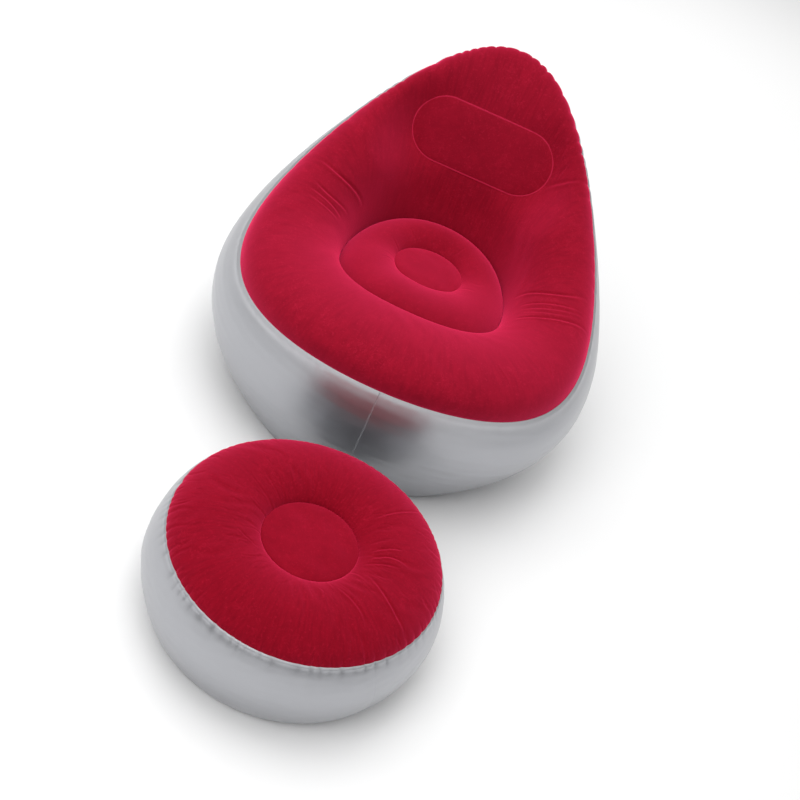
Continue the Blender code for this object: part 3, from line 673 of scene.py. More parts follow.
@dataclass(frozen=True)
class SilverFinish:
    """Silver-grey pearl vinyl: satin, grained, with slack ripples and a painted highlight under its
    rim.
    """

    name: str = "silver_vinyl"
    shade: Colour = (0.372, 0.376, 0.398)
    bright: Colour = (0.442, 0.447, 0.470)
    # Painted highlight under the rim: a lighter colour with less metal, where the mesh's field
    # marks it.
    lip: Colour = (0.540, 0.547, 0.572)
    metallic: float = 0.90
    rim_highlight_metallic: float = 0.30
    roughness: float = 0.27
    grain_scale: float = 1600.0
    ripple_scale: float = 16.0
    cloud_scale: float = 6.0

    def material(self) -> Material:
        """Material: pearl flakes, drifting roughness, grain, ripples and the painted highlight
        under the rim.
        """
        shading = Shading(self.name)
        cloud = shading.noise(self.cloud_scale, 3.0)
        flakes = shading.noise(self.grain_scale, 1.0)
        grain = shading.noise(self.grain_scale / 2.0)
        ripple = shading.noise(self.ripple_scale, 3.0, roughness=0.45)
        # Painted highlight: the mesh's field lightens the colour and takes metal away under the
        # rim.
        lip = shading.field("near_rim")
        pearl = shading.mixed(cloud * 0.6 + flakes * 0.4, self.shade, self.bright)
        slack = shading.bump(ripple, 0.22, 0.004)
        return shading.dress(Base_Color=shading.mixed(lip, pearl, self.lip),
                             Metallic=self.metallic - lip * (self.metallic - self.rim_highlight_metallic),
                             Roughness=self.roughness + cloud * 0.10 + flakes * 0.05,
                             Normal=shading.bump(grain, 0.10, 0.0003, slack),
                             Coat_Weight=0.12, Coat_Roughness=0.22)


@dataclass(frozen=True)
class ValveFinish:
    """Soft grey moulded vinyl of a valve, a little cloudy."""

    name: str = "valve_vinyl"
    shade: Colour = (0.50, 0.51, 0.53)
    pale: Colour = (0.62, 0.63, 0.65)

    def material(self) -> Material:
        """Material: cloudy colour, satin roughness and a trace of moulded texture."""
        shading = Shading(self.name)
        cloud = shading.noise(120.0, 3.0)
        fine = shading.noise(2400.0, 1.0)
        return shading.dress(Base_Color=shading.mixed(cloud, self.shade, self.pale),
                             Roughness=0.38 + cloud * 0.14, Coat_Weight=0.10,
                             Normal=shading.bump(fine, 0.08, 0.0002))


@dataclass(frozen=True)
class FloorFinish:
    """Plain pale studio floor."""

    name: str = "studio_floor"
    colour: Colour = (0.86, 0.86, 0.86)
    shade: Colour = (0.80, 0.80, 0.80)

    def material(self) -> Material:
        """Material: matt and nearly white, with a trace of unevenness."""
        shading = Shading(self.name)
        cloud = shading.noise(3.0)
        return shading.dress(Base_Color=shading.mixed(cloud * 0.04, self.colour, self.shade),
                             Roughness=0.85)


@dataclass(frozen=True)
class Palette:
    """The materials that the pieces share."""

    flock: Material
    combed: Material
    weld: Material
    silver: Material
    valve: Material

    @classmethod
    def mixed(cls) -> "Palette":
        """Make each finish once."""
        weld = FlockFinish(name="flock_over_weld", deep=(0.36, 0.0110, 0.0380),
                           light=(0.46, 0.0170, 0.0540))
        combed = FlockFinish(name="crimson_flock_combed", combed=0.45)
        return cls(FlockFinish().material(), combed.material(), weld.material(),
                   SilverFinish().material(), ValveFinish().material())

    def deepened(self) -> "Palette":
        """The same palette with a deeper flock that has less sheen, as on the footstool."""
        # The fourth colour is the painted sheen at grazing angles.
        flock = FlockFinish("deep_flock", (0.158, 0.0013, 0.0073), (0.246, 0.0024, 0.0120),
                            (0.380, 0.0080, 0.0280), (0.470, 0.0100, 0.0420), sheen=0.8)
        combed = replace(flock, name="deep_flock_combed", combed=0.45)
        return replace(self, flock=flock.material(), combed=combed.material())


def dressed(item: Item, material: Material, body: str,
            nodes: tuple[str, ...] = ()) -> Item:
    """Give a finished piece its material and its body, and hide the CAD nodes that it stands for.
    """
    item.data.materials.append(material)
    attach(item, body)
    if nodes:
        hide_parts(*nodes)
    log.info("%s: %d points on %s", item.name, len(item.data.vertices), body)
    return item


@dataclass(frozen=True)
class Headrest:
    """Oval with flat sides on the slope of the back, in a plane of its own."""

    half_length: float = 0.190
    radius: float = 0.084
    backset: float = 0.3125
    height: float = 0.540
    slope: float = math.radians(62.7)
    crown: float = 0.008
    reach: float = 0.115

    def axes(self) -> tuple[Array, Array]:
        """Origin, and rows that are the plane's axes: across, up the slope and out of the back."""
        lean, rise = math.cos(self.slope), math.sin(self.slope)
        origin = np.array((0.0, self.backset, self.height))
        return origin, np.array(((1.0, 0.0, 0.0), (0.0, lean, rise), (0.0, -rise, lean)))

    def local(self, points: Array) -> Array:
        """Points in the plane's own axes."""
        origin, axes = self.axes()
        return (points - origin) @ axes.T

    def world(self, points: Array) -> Array:
        """Points given in the plane's axes, in the object's frame."""
        origin, axes = self.axes()
        return points @ axes + origin

    def distance(self, local: Array) -> Array:
        """Distance from the oval: that from its middle line less its radius."""
        across = np.maximum(0.0, np.abs(local[..., 0]) - (self.half_length - self.radius))
        return np.hypot(across, local[..., 1]) - self.radius

    def outline(self, count: int, inset: float = 0.0) -> Array:
        """Points round the oval in its plane, even in length, counted anticlockwise from the back.

        Straight runs alternate with half circles: a point's angle on its half circle
        is the length past the straight, over the radius.
        """
        straight = self.half_length - self.radius
        half = 2.0 * straight + np.pi * self.radius
        run = np.mod(np.arange(count) / count * 2.0 * half, 2.0 * half)
        side = np.where(run < half, 1.0, -1.0)
        part = np.mod(run, half)
        angle = np.clip((part - straight) / self.radius, 0.0, np.pi)
        before = np.minimum(part, straight)
        past = np.clip(part - straight - np.pi * self.radius, 0.0, straight)
        radius = self.radius - inset
        across = np.where(part <= straight, before, straight + radius * np.sin(angle) - past)
        high = -radius * np.cos(angle)
        return np.stack((across * side, high * side, np.zeros(count)), axis=-1)

    def pulled(self, points: Array) -> Array:
        """Skin drawn into the plane towards the oval, by a sine of the distance over the reach."""
        local = self.local(points)
        share = np.clip(self.distance(local) / self.reach, 0.0, 1.0)
        local[..., 2] *= np.sin(np.pi / 2.0 * share)
        return self.world(local)


@dataclass(frozen=True)
class Shell:
    """One inflated body: the seams of its skins and how far they swell between them."""

    name: str
    rim: Loop
    base: Loop
    inner: Loop
    crowns: Heights
    crown_lean: float
    bulges: Heights
    top_fullness: float = 0.5
    wall_fullness: float = 0.8
    headrest: Headrest | None = None

    def top(self, turn: Array, share: Array) -> Array:
        """Skin of the flocked top.

        A chord runs from the rim to the inner crease. The skin stands off it by the
        crown times the swell at share to the power of the lean, square to the chord at
        the rim and turning upright with the square of share, and is drawn in towards
        the headrest.
        """
        start = self.rim.at(turn) + UP * SHEET_GAP
        end = self.inner.at(turn) + self.inner.outward(turn) * SHEET_GAP
        chord = end - start
        square = unit(UP - chord * (chord[..., 2:] / (chord**2).sum(-1, keepdims=True)))
        part = share[..., None]
        push = unit(square * (1.0 - part**2) + UP * part**2)
        rise = self.crowns.at(turn) * blown(share**self.crown_lean, self.top_fullness)
        points = start + chord * part + push * rise[..., None]
        return self.headrest.pulled(points) if self.headrest else points

    def wall(self, turn: Array, share: Array) -> Array:
        """Skin of the side wall: a chord from rim to base plus a level swell, a powered sine."""
        start = self.rim.at(turn) - UP * SHEET_GAP
        end = self.base.at(turn) + UP * BASE_GAP
        swell = np.sin(np.pi * np.clip(share, 0.0, 1.0)) ** self.wall_fullness
        rise = self.bulges.at(turn) * swell
        return start + (end - start) * share[..., None] + self.rim.outward(turn) * rise[..., None]

    def fold(self, turn: Array) -> Array:
        """Direction of the rim's weld, into the body, half way between the two skins."""
        near = np.full_like(turn, FOLD_PROBE)
        along = self.rim.tangent(turn)
        over = np.cross(along, unit(self.top(turn, near) - self.rim.at(turn)))
        under = np.cross(unit(self.wall(turn, near) - self.rim.at(turn)), along)
        return -unit(unit(over) + unit(under))


def creased(shell: Shell, skin: Skin, turn: Array, puckers: Puckers) -> Skin:
    """Draw a skin in at the notches of its rim, along the fold of the weld."""
    depth = puckers.depth(turn, skin.lengths())
    skin.points = skin.points + shell.fold(turn) * depth[..., None]
    return skin


def hemmed(skin: Skin, first: Array, last: Array) -> Skin:
    """Add a hem of two rows at each end, folded in along a direction for each column."""
    shares = np.array((1.0, 0.35))[:, None, None] * WELD_WIDTH
    head = skin.points[:1] + first * shares
    tail = skin.points[-1:] + last * shares[::-1]
    skin.points = np.concatenate((head, skin.points, tail))
    return skin


def open_quads(inside: Array) -> Array:
    """Mask of the quads that have a corner outside a mask of a skin's points."""
    edges = inside & np.roll(inside, -1, axis=1)
    return ~(edges[:-1] & edges[1:])


@dataclass
class FlockedTop:
    """Flocked skin from the rim to the inner crease, round the headrest if there is one."""

    shell: Shell
    puckers: Puckers
    inner_puckers: Puckers
    folds: Folds
    columns: int = 1200
    rows: int = 78
    slack: float = 0.0008
    edge_width: float = 0.004
    rim_share: float = 0.8
    panel_overlap: float = 0.008
    seed: int = 11

    def skin(self) -> Skin:
        """The top with its slack, folds and gathers, before its hems."""
        turn, share = grid(self.columns, self.rows)
        skin = Skin(self.shell.top(turn, share))
        down = skin.lengths()
        height = self.folds.height(turn, share, skin.metres_per_turn())
        height += self.slack * self.waves(turn, share)
        height -= self.inner_puckers.depth(turn, down[-1:] - down)
        height -= self.rim_share * self.puckers.depth(turn, down)
        skin.raised(height * np.minimum(1.0, down / self.edge_width))
        return creased(self.shell, skin, turn, self.puckers)

    def waves(self, turn: Array, share: Array) -> Array:
        """Slack of the skin: closed noise round it times a sine across it, in two layers."""
        broad = wander(turn, self.seed, 2, 9) * np.sin(np.pi * share)
        fine = wander(turn + 0.6 * share, self.seed + 1, 14, 40) * np.sin(2.0 * np.pi * share) ** 2
        return 0.7 * broad + 0.3 * fine

    def build(self, palette: Palette) -> Item:
        """Build the top and leave out what lies under the headrest's panel."""
        skin = self.skin()
        turn = turns(self.columns)[None, :]
        fold = self.shell.fold(turn)
        skin = hemmed(skin, fold, np.broadcast_to(-UP, fold.shape))
        keep, headrest = None, self.shell.headrest
        if headrest:
            keep = open_quads(headrest.distance(headrest.local(skin.points)) < -self.panel_overlap)
            keep[:, np.abs(turn[0]) < np.pi / 2.0] = True
        node = self.shell.name + "_flocked_top"
        item = skin.mesh_object(node + "_skin", keep)
        dressed(item, palette.combed, self.shell.name, (node,))
        return item


@dataclass
class SeatRing:
    """Ring of the seat between its crease and its disc, a torus blown up over two loops."""

    outer: Loop
    inner: Loop
    crown: float = 0.040
    fullness: float = 0.8
    slack: float = 0.0008
    crease_share: float = 0.5
    crease_shift: float = 0.4
    columns: int = 512
    rows: int = 72
    seed: int = 5

    def build(self, palette: Palette, gathers: Puckers, folds: Folds) -> Item:
        """Chord from the outer to the inner loop plus the crown times the swell, upright."""
        turn, share = grid(self.columns, self.rows)
        start = self.outer.at(turn) - self.outer.outward(turn) * SHEET_GAP
        end = self.inner.at(turn) + self.inner.outward(turn) * SHEET_GAP
        rise = UP * (self.crown * blown(share, self.fullness))[..., None]
        skin = Skin(start + (end - start) * share[..., None] + rise)
        down = skin.lengths()
        height = folds.height(turn, share, skin.metres_per_turn())
        height -= gathers.depth(turn, down[-1:] - down)
        height -= self.crease_share * gathers.depth(turn + self.crease_shift, down)
        height += self.slack * wander(turn, self.seed, 2, 8) * np.sin(np.pi * share)
        inwards = np.broadcast_to(-UP, start.shape)
        item = hemmed(skin.raised(height), inwards, inwards).mesh_object("chair_seat_ring_skin")
        dressed(item, palette.flock, "chair", ("chair_seat_ring",))
        return item


@dataclass
class WeldedDisc:
    """Round sheet held down by its weld, with the raised line of the weld round it."""

    body: str
    node: str
    edge: Loop
    crown: float
    bead_width: float = 0.0026
    bead_height: float = 0.0010
    slack: float = 0.0005
    slack_length: float = 0.06
    columns: int = 256
    rows: int = 48
    seed: int = 21

    def build(self, palette: Palette) -> Item:
        """Loop drawn in by a cosine while the sheet rises by the crown times its sine."""
        turn = turns(self.columns)[None, :]
        angle = np.linspace(0.0, np.pi / 2.0, self.rows)[:, None]
        points = self.edge.scaled(turn, np.cos(angle))
        points = points - self.edge.outward(turn) * SHEET_GAP * np.cos(angle)[..., None]
        points = points + UP * (self.crown * np.sin(angle))[..., None]
        height = self.slack * ripples(points, self.seed, self.slack_length)
        skin = Skin(points).raised(height * np.sin(2.0 * angle) ** 2).edged(-UP * WELD_WIDTH)
        item = skin.mesh_object(self.node + "_skin", pole=True)
        dressed(item, palette.flock, self.body, (self.node,))
        self.bead(palette)
        return item

    def bead(self, palette: Palette) -> Item:
        """Flat bead on the weld."""
        turn = turns(self.columns * 2)
        item = bead_along(self.node + "_weld_line", self.edge.at(turn), self.edge.outward(turn),
                          UP, self.bead_width, self.bead_height)
        return dressed(item, palette.flock, self.body)


def bead_along(name: str, line: Array, across: Array, over: Array, width: float,
               height: float) -> Item:
    """Low round bead on a closed line: an ellipse of width and height carried along it.

    Args:
        name: the object's name.
        line: points of the closed line.
        across: unit directions to the bead's outer side.
        over: unit direction out of the surface.
        width: width of the ellipse.
        height: height of the ellipse.

    Returns:
        The linked object.
    """
    angle = np.linspace(0.0, ROUND, 12, endpoint=False)[:, None, None]
    points = line + across * np.cos(angle) * width / 2.0 + over * np.sin(angle) * height / 2.0
    return closed(Skin(np.concatenate((points, points[:1]))).mesh_object(name))


@dataclass
class HeadrestPanel:
    """Pillowed panel inside the oval, and the raised line of its weld."""

    headrest: Headrest
    bead_width: float = 0.0046
    bead_height: float = 0.0032
    slack: float = 0.0010
    slack_length: float = 0.16
    columns: int = 480
    rows: int = 64
    seed: int = 31

    def build(self, palette: Palette) -> Item:
        """Oval drawn in by a cosine while the panel rises by the crown times the sine."""
        edge = self.headrest.outline(self.columns, SHEET_GAP)[None]
        angle = np.linspace(0.0, np.pi / 2.0, self.rows)[:, None, None]
        local = edge * np.cos(angle) + UP * self.headrest.crown * np.sin(angle)
        height = self.slack * ripples(local, self.seed, self.slack_length)
        skin = Skin(self.headrest.world(local)).raised(height * np.sin(angle[..., 0]) ** 2)
        outward = self.headrest.axes()[1][2]
        item = skin.edged(-outward * WELD_WIDTH).mesh_object("chair_headrest_skin", pole=True)
        dressed(item, palette.flock, "chair", ("chair_headrest_panel",))
        self.bead(palette, outward)
        return item

    def bead(self, palette: Palette, outward: Array) -> Item:
        """Bead on the oval's weld."""
        line = self.headrest.world(self.headrest.outline(self.columns * 2))
        along = unit(np.roll(line, -1, axis=0) - np.roll(line, 1, axis=0))
        item = bead_along("chair_headrest_weld_line", line, np.cross(along, outward), outward,
                          self.bead_width, self.bead_height)
        return dressed(item, palette.weld, "chair")


@dataclass
class Valve:
    """Plug valve: welded base, plug, strap and cap, each turned about the valve's axis.

    Heights are measured out of the wall, from the middle of its sheet, and an outline
    is a closed row of radius and height pairs.
    """

    owner: str
    flange_radius: float = 0.021
    flange_thickness: float = 0.0012
    neck_radius: float = 0.0140
    neck_wall: float = 0.0024
    neck_height: float = 0.0040
    neck_depth: float = 0.0050
    strap_thickness: float = 0.0012
    strap_radius: float = 0.0150
    strap_width: float = 0.0070
    strap_reach: float = 0.0185
    strap_overlap: float = 0.0010
    lip_radius: float = 0.0135
    lip_thickness: float = 0.0015
    bore_radius: float = 0.0055
    cap_radius: float = 0.0130
    cap_thickness: float = 0.0018
    cap_rim: float = 0.0016
    cap_recess: float = 0.0005
    stopper_depth: float = 0.0028
    stopper_taper: float = 0.0010
    flap_radius: float = 0.0080
    flap_thickness: float = 0.0010
    patch_margin: float = 0.008
    patch_fade: float = 0.003
    patch_lift: float = 0.0004
    patch_drop: float = 0.0010
    ring_width: float = 0.0012
    ring_height: float = 0.0006
    gap: float = 0.0003
    sheet: float = 0.0006
    steps: int = 96
    place: Matrix = field(default_factory=Matrix)

    def __post_init__(self) -> None:
        """Find the valve's place from its joints in the frame."""
        joints = {joint["name"]: joint for joint in frame["joints"]}
        out = Vector(joints[self.owner + "_plug_pull"]["axis"]).normalized()
        side = Vector(UP).cross(out).normalized()
        hinge = Vector(joints[self.owner + "_cap_hinge"]["pos_m"])
        origin = hinge + side * self.strap_reach - out * self.lip_level()
        axes = Matrix((side, out.cross(side), out)).transposed().to_4x4()
        self.place = Matrix.Translation(origin) @ axes

    def ring_level(self) -> float:
        """Height of the strap's ring."""
        return self.neck_height + self.gap

    def lip_level(self) -> float:
        """Height of the underside of the plug's lip."""
        return self.ring_level() + self.strap_thickness + self.gap

    def cap_level(self) -> float:
        """Height of the underside of the cap."""
        return self.lip_level() + self.lip_thickness + self.gap

    def turned(self, name: str, outline: Outline, radius: float) -> Item:
        """Solid turned from an outline whose corners are rounded."""
        corners = outline[::-1]
        middle = tuple((np.array(corners[0]) + np.array(corners[1])) / 2.0)
        profile = rounded([middle, *corners[1:], corners[0], middle], radius)
        profile[:, 0] = np.maximum(profile[:, 0], 1e-5)
        return closed(Skin(lathed(self.place, profile, self.steps)).mesh_object(name))

    def build(self, palette: Palette) -> None:
        """Build and dress every piece of the valve."""
        start, plug = self.owner + "_valve_", self.owner + "_plug"
        for piece, node, outline, radius, body in (
                ("base_moulding", "base", self.base_outline(), 0.0006, self.owner),
                ("plug_moulding", "plug", self.plug_outline(), 0.0005, plug),
                ("flap_moulding", "flap", self.flap_outline(), 0.0003, self.owner + "_flap"),
                ("cap_moulding", "cap", self.cap_outline(), 0.0005, self.owner + "_cap"),
                ("strap_ring", "strap", self.ring_outline(), 0.0004, plug)):
            item = self.turned(start + piece, outline, radius)
            dressed(item, palette.valve, body, (start + node,))
        self.strap(palette)
        self.patch(palette)

    def base_outline(self) -> Outline:
        """Flange under the sheet with the neck through it."""
        top = -self.sheet / 2.0 - self.gap
        low, bore = top - self.flange_thickness, self.neck_radius - self.neck_wall
        return [(bore, -self.neck_depth), (bore, self.neck_height),
                (self.neck_radius, self.neck_height), (self.neck_radius, top),
                (self.flange_radius, top), (self.flange_radius, low), (self.neck_radius, low),
                (self.neck_radius, -self.neck_depth)]

    def plug_outline(self) -> Outline:
        """Barrel in the neck with a lip over the strap's ring, and the bore through it."""
        barrel = self.neck_radius - self.neck_wall - self.gap
        lip, foot = self.lip_level(), -self.neck_depth - self.flap_thickness
        top = lip + self.lip_thickness
        return [(self.bore_radius, foot), (self.bore_radius, top), (self.lip_radius, top),
                (self.lip_radius, lip), (barrel, lip), (barrel, foot)]

    def flap_outline(self) -> Outline:
        """Thin one-way flap under the plug."""
        top = -self.neck_depth - self.flap_thickness - self.gap
        low = top - self.flap_thickness
        return [(0.0, low), (0.0, top), (self.flap_radius, top), (self.flap_radius, low)]

    def cap_outline(self) -> Outline:
        """Cap with a raised rim, a sunken face and its stopper."""
        under, stopper = self.cap_level(), self.bore_radius - self.gap
        top, foot = under + self.cap_thickness, under - self.stopper_depth
        face, rim = top - self.cap_recess, self.cap_radius - self.cap_rim
        return [(0.0, foot), (0.0, face), (rim, face), (rim, top), (self.cap_radius, top),
                (self.cap_radius, under), (stopper, under), (stopper - self.stopper_taper, foot)]

    def ring_outline(self) -> Outline:
        """Ring of the strap between the neck and the plug's lip."""
        low, bore = self.ring_level(), self.neck_radius - self.neck_wall
        top = low + self.strap_thickness
        return [(bore, low), (bore, top), (self.strap_radius, top), (self.strap_radius, low)]

    def strap(self, palette: Palette) -> Item:
        """Strap from the ring round the hinge to the cap: a half loop of flat band.

        Its middle line runs out from the ring, turns a half circle about the hinge and
        runs back into the cap's edge. The band's section is a rounded box.
        """
        low = self.ring_level() + self.strap_thickness / 2.0
        high = self.cap_level() + self.cap_thickness / 2.0
        radius = (high - low) / 2.0
        bend = np.linspace(-np.pi / 2.0, np.pi / 2.0, 17)
        out = self.strap_reach - self.strap_thickness / 2.0
        x = np.concatenate(([self.strap_overlap - self.strap_radius],
                            radius - out - radius * np.cos(bend),
                            [self.strap_overlap - self.cap_radius]))
        z = np.concatenate(([low], (low + high) / 2.0 + radius * np.sin(bend), [high]))
        line = np.stack((x, np.zeros_like(x), z), axis=-1)
        beside = np.array((0.0, 1.0, 0.0))
        thick = np.cross(unit(np.gradient(line, axis=0)), beside)
        angle = np.linspace(0.0, ROUND, 16, endpoint=False)
        section = np.stack((np.cos(angle), np.sin(angle)))
        section = np.sign(section) * np.sqrt(np.abs(section))
        wide = section[0] * self.strap_width / 2.0
        deep = section[1] * self.strap_thickness / 2.2
        points = line[:, None] + thick[:, None] * deep[:, None] + beside * wide[:, None]
        item = Skin(placed(self.place, points)).mesh_object(self.owner + "_valve_strap_band")
        item = closed(item, ends_open=True)
        item.data.materials.append(palette.valve)
        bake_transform(item)
        return item

    def patch(self, palette: Palette) -> Item:
        """Round patch of the wall over the flange, pressed flat with a raised weld ring."""
        outer = self.flange_radius + self.patch_margin
        radius = np.linspace(self.neck_radius + self.gap, outer, 40)
        ring = np.exp(-(((radius - self.flange_radius) / self.ring_width) ** 2))
        edge = smoothstep(outer - self.patch_fade, outer, radius)
        height = self.patch_lift + self.ring_height * ring - self.patch_drop * edge
        profile = np.stack((radius, height), axis=-1)[::-1]
        item = Skin(lathed(self.place, profile, 128)).mesh_object(self.owner + "_valve_weld_patch")
        return dressed(item, palette.silver, self.owner)


@dataclass
class SideWall:
    """Silver skin from the rim to the base, flat round its valve, with one lap seam."""

    shell: Shell
    puckers: Puckers
    valve: Valve
    seam_turns_deg: tuple[float, float]
    columns: int = 768
    rows: int = 112
    slack: float = 0.0014
    ripple: float = 0.0003
    ripple_length: float = 0.030
    ripple_spans: tuple[float, float] = (0.10, 0.30)
    gather_share: float = 0.9
    gather_start: float = 0.003
    roll: float = 0.0014
    roll_width: float = 0.0080
    roll_notch: float = 0.6
    # Width and back share of the highlight painted under the rim.
    rim_highlight_width: float = 0.024
    rim_highlight_behind: float = 0.3
    base_gathers: float = 0.0012
    base_reach: float = 0.02
    pull: float = 0.0007
    pull_width: float = 0.012
    seam_half_width: float = 0.0014
    seam_height: float = 0.0007
    seam_sink: float = 0.0003
    hole_radius: float = 0.024
    flat_radii: tuple[float, float] = (0.034, 0.090)
    flat_height: float = 0.06
    seed: int = 51

    def flattened(self, points: Array) -> Array:
        """Skin pressed into the valve's plane, fading out by a smooth step of the radius."""
        origin = np.array(self.valve.place.translation)
        out = np.array(self.valve.place.col[2][:3])
        height = (points - origin) @ out
        radius = np.linalg.norm(points - origin - height[..., None] * out, axis=-1)
        near = np.abs(height) < self.flat_height
        weight = (1.0 - smoothstep(*self.flat_radii, radius)) * near
        return points - out * (height * weight)[..., None]

    def seam_turn(self, share: Array) -> Array:
        """Angle of the lap seam, which leans evenly from rim to base."""
        start, end = np.radians(self.seam_turns_deg)
        return start + (end - start) * share

    def skin(self) -> Skin:
        """The wall with gathers and a roll under the rim, slack, and the pull of its lap seam."""
        turn, share = grid(self.columns, self.rows)
        skin = Skin(self.shell.wall(turn, share), Facing.ROWS_DOWN)
        down, arch = skin.lengths(), np.sin(np.pi * share)
        gathers = self.gather_share * self.puckers.depth(turn, down)
        height = -gathers * np.minimum(1.0, down / self.gather_start)
        roll = np.exp(-(((down - self.roll_width) / self.roll_width) ** 2))
        height += self.roll * (1.0 - self.roll_notch * self.puckers.notch(turn)) * roll
        above_base = np.exp(-(down[-1:] - down) / self.base_reach)
        height -= self.base_gathers * self.puckers.notch(turn + 1.0) * above_base
        height += self.slack * wander(turn + 0.3 * share, self.seed, 2, 9) * arch
        across, along = self.ripple_spans
        sheet = np.stack(np.broadcast_arrays(across * turn, along * share), axis=-1)
        height += self.ripple * ripples(sheet, self.seed + 2, self.ripple_length) * arch
        away = np.mod(turn - self.seam_turn(share) + np.pi, ROUND) - np.pi
        bell = np.exp(-((away * skin.metres_per_turn() / self.pull_width) ** 2))
        skin.raised(height - self.pull * bell * arch**0.5)
        return creased(self.shell, skin, turn, self.puckers)

    def build(self, palette: Palette) -> Item:
        """Build the wall with its hole for the valve, and its lap seam.

        The field that carries the painted highlight is a bell of the length below the rim.
        It is full at the front and falls to a set share at the back, by a cube of the cosine's half
        step.
        """
        turn = turns(self.columns)[None, :]
        skin = self.skin()
        seam_wall = skin.points
        skin.points = self.flattened(skin.points)
        skin = hemmed(skin, self.shell.fold(turn), -self.shell.base.outward(turn))
        # Painted highlight: a lighter, less metallic band under the rim, strongest at the front.
        below_rim = np.maximum(0.0, skin.lengths() - WELD_WIDTH)
        forward = self.rim_highlight_behind + (1.0 - self.rim_highlight_behind) * ((1.0 + np.cos(turn)) / 2.0) ** 3
        skin.fields["near_rim"] = forward * np.exp(-((below_rim / self.rim_highlight_width) ** 2))
        from_valve = np.linalg.norm(skin.points - np.array(self.valve.place.translation), axis=-1)
        node = self.shell.name + "_side_wall"
        item = skin.mesh_object(node + "_skin", open_quads(from_valve < self.hole_radius))
        dressed(item, palette.silver, self.shell.name, (node,))
        self.lap_seam(palette, seam_wall)
        return item

    def lap_seam(self, palette: Palette, wall: Array) -> Item:
        """Strip where the wall's ends lap: a low rounded band that follows the wall down.

        The band's middle is read off the wall's own grid, and its section is half an
        ellipse, sunk a little into the wall. Its ends stop short of the two welds.
        """
        share = crowded(self.rows)
        angle = self.seam_turn(share)
        column = np.mod((angle + np.pi) / ROUND * self.columns, self.columns)
        low, rows = np.floor(column).astype(int), np.arange(self.rows)
        part = (column - low)[:, None]
        before, after = wall[rows, low], wall[rows, (low + 1) % self.columns]
        line = before * (1.0 - part) + after * part
        beside = unit(after - before)
        out = unit(np.cross(beside, np.gradient(line, axis=0)))
        out *= np.sign((out * self.shell.rim.outward(angle)).sum(-1, keepdims=True))
        across = np.linspace(-1.0, 1.0, 9)[None, :, None]
        rise = self.seam_height * np.sqrt(1.0 - across**2) - self.seam_sink
        points = line[:, None] + beside[:, None] * across * self.seam_half_width
        points = (points + out[:, None] * rise)[4:-3]
        index = np.arange(points[..., 0].size).reshape(points.shape[:2])
        quads = np.stack((index[:-1, :-1], index[:-1, 1:], index[1:, 1:], index[1:, :-1]), axis=-1)
        item = meshed(self.shell.name + "_wall_lap_seam", points.reshape(-1, 3),
                      quads.reshape(-1, 4).tolist())
        return dressed(item, palette.silver, self.shell.name)


@dataclass
class BasePanel:
    """Flat base sheet with the welds of the bands that stand on it."""

    shell: Shell
    welds: tuple[Loop, ...]
    columns: int = 256
    rows: int = 96
    weld_height: float = 0.0008
    weld_spread: float = 0.005
    thickness: float = 0.0006

    def build(self, palette: Palette) -> Item:
        """Base loop drawn in to its middle, pressed up by a bell over each weld's line."""
        turn = turns(self.columns)[None, :]
        share = np.linspace(1.0, 0.0, self.rows)[:, None]
        points = self.shell.base.scaled(turn, share)
        points[..., 2] = 0.0
        for weld in self.welds:
            middle = np.array((0.0, weld.backset))
            reach = np.linalg.norm(weld.at(turn)[..., :2] - middle, axis=-1)
            away = np.linalg.norm(points[..., :2] - middle, axis=-1) - reach
            points[..., 2] += self.weld_height * np.exp(-((away / self.weld_spread) ** 2))
        node = self.shell.name + "_base_panel"
        skin = Skin(points, Facing.ROWS_DOWN).edged(UP * self.thickness)
        item = skin.mesh_object(node + "_skin", pole=True)
        return dressed(item, palette.silver, self.shell.name, (node,))


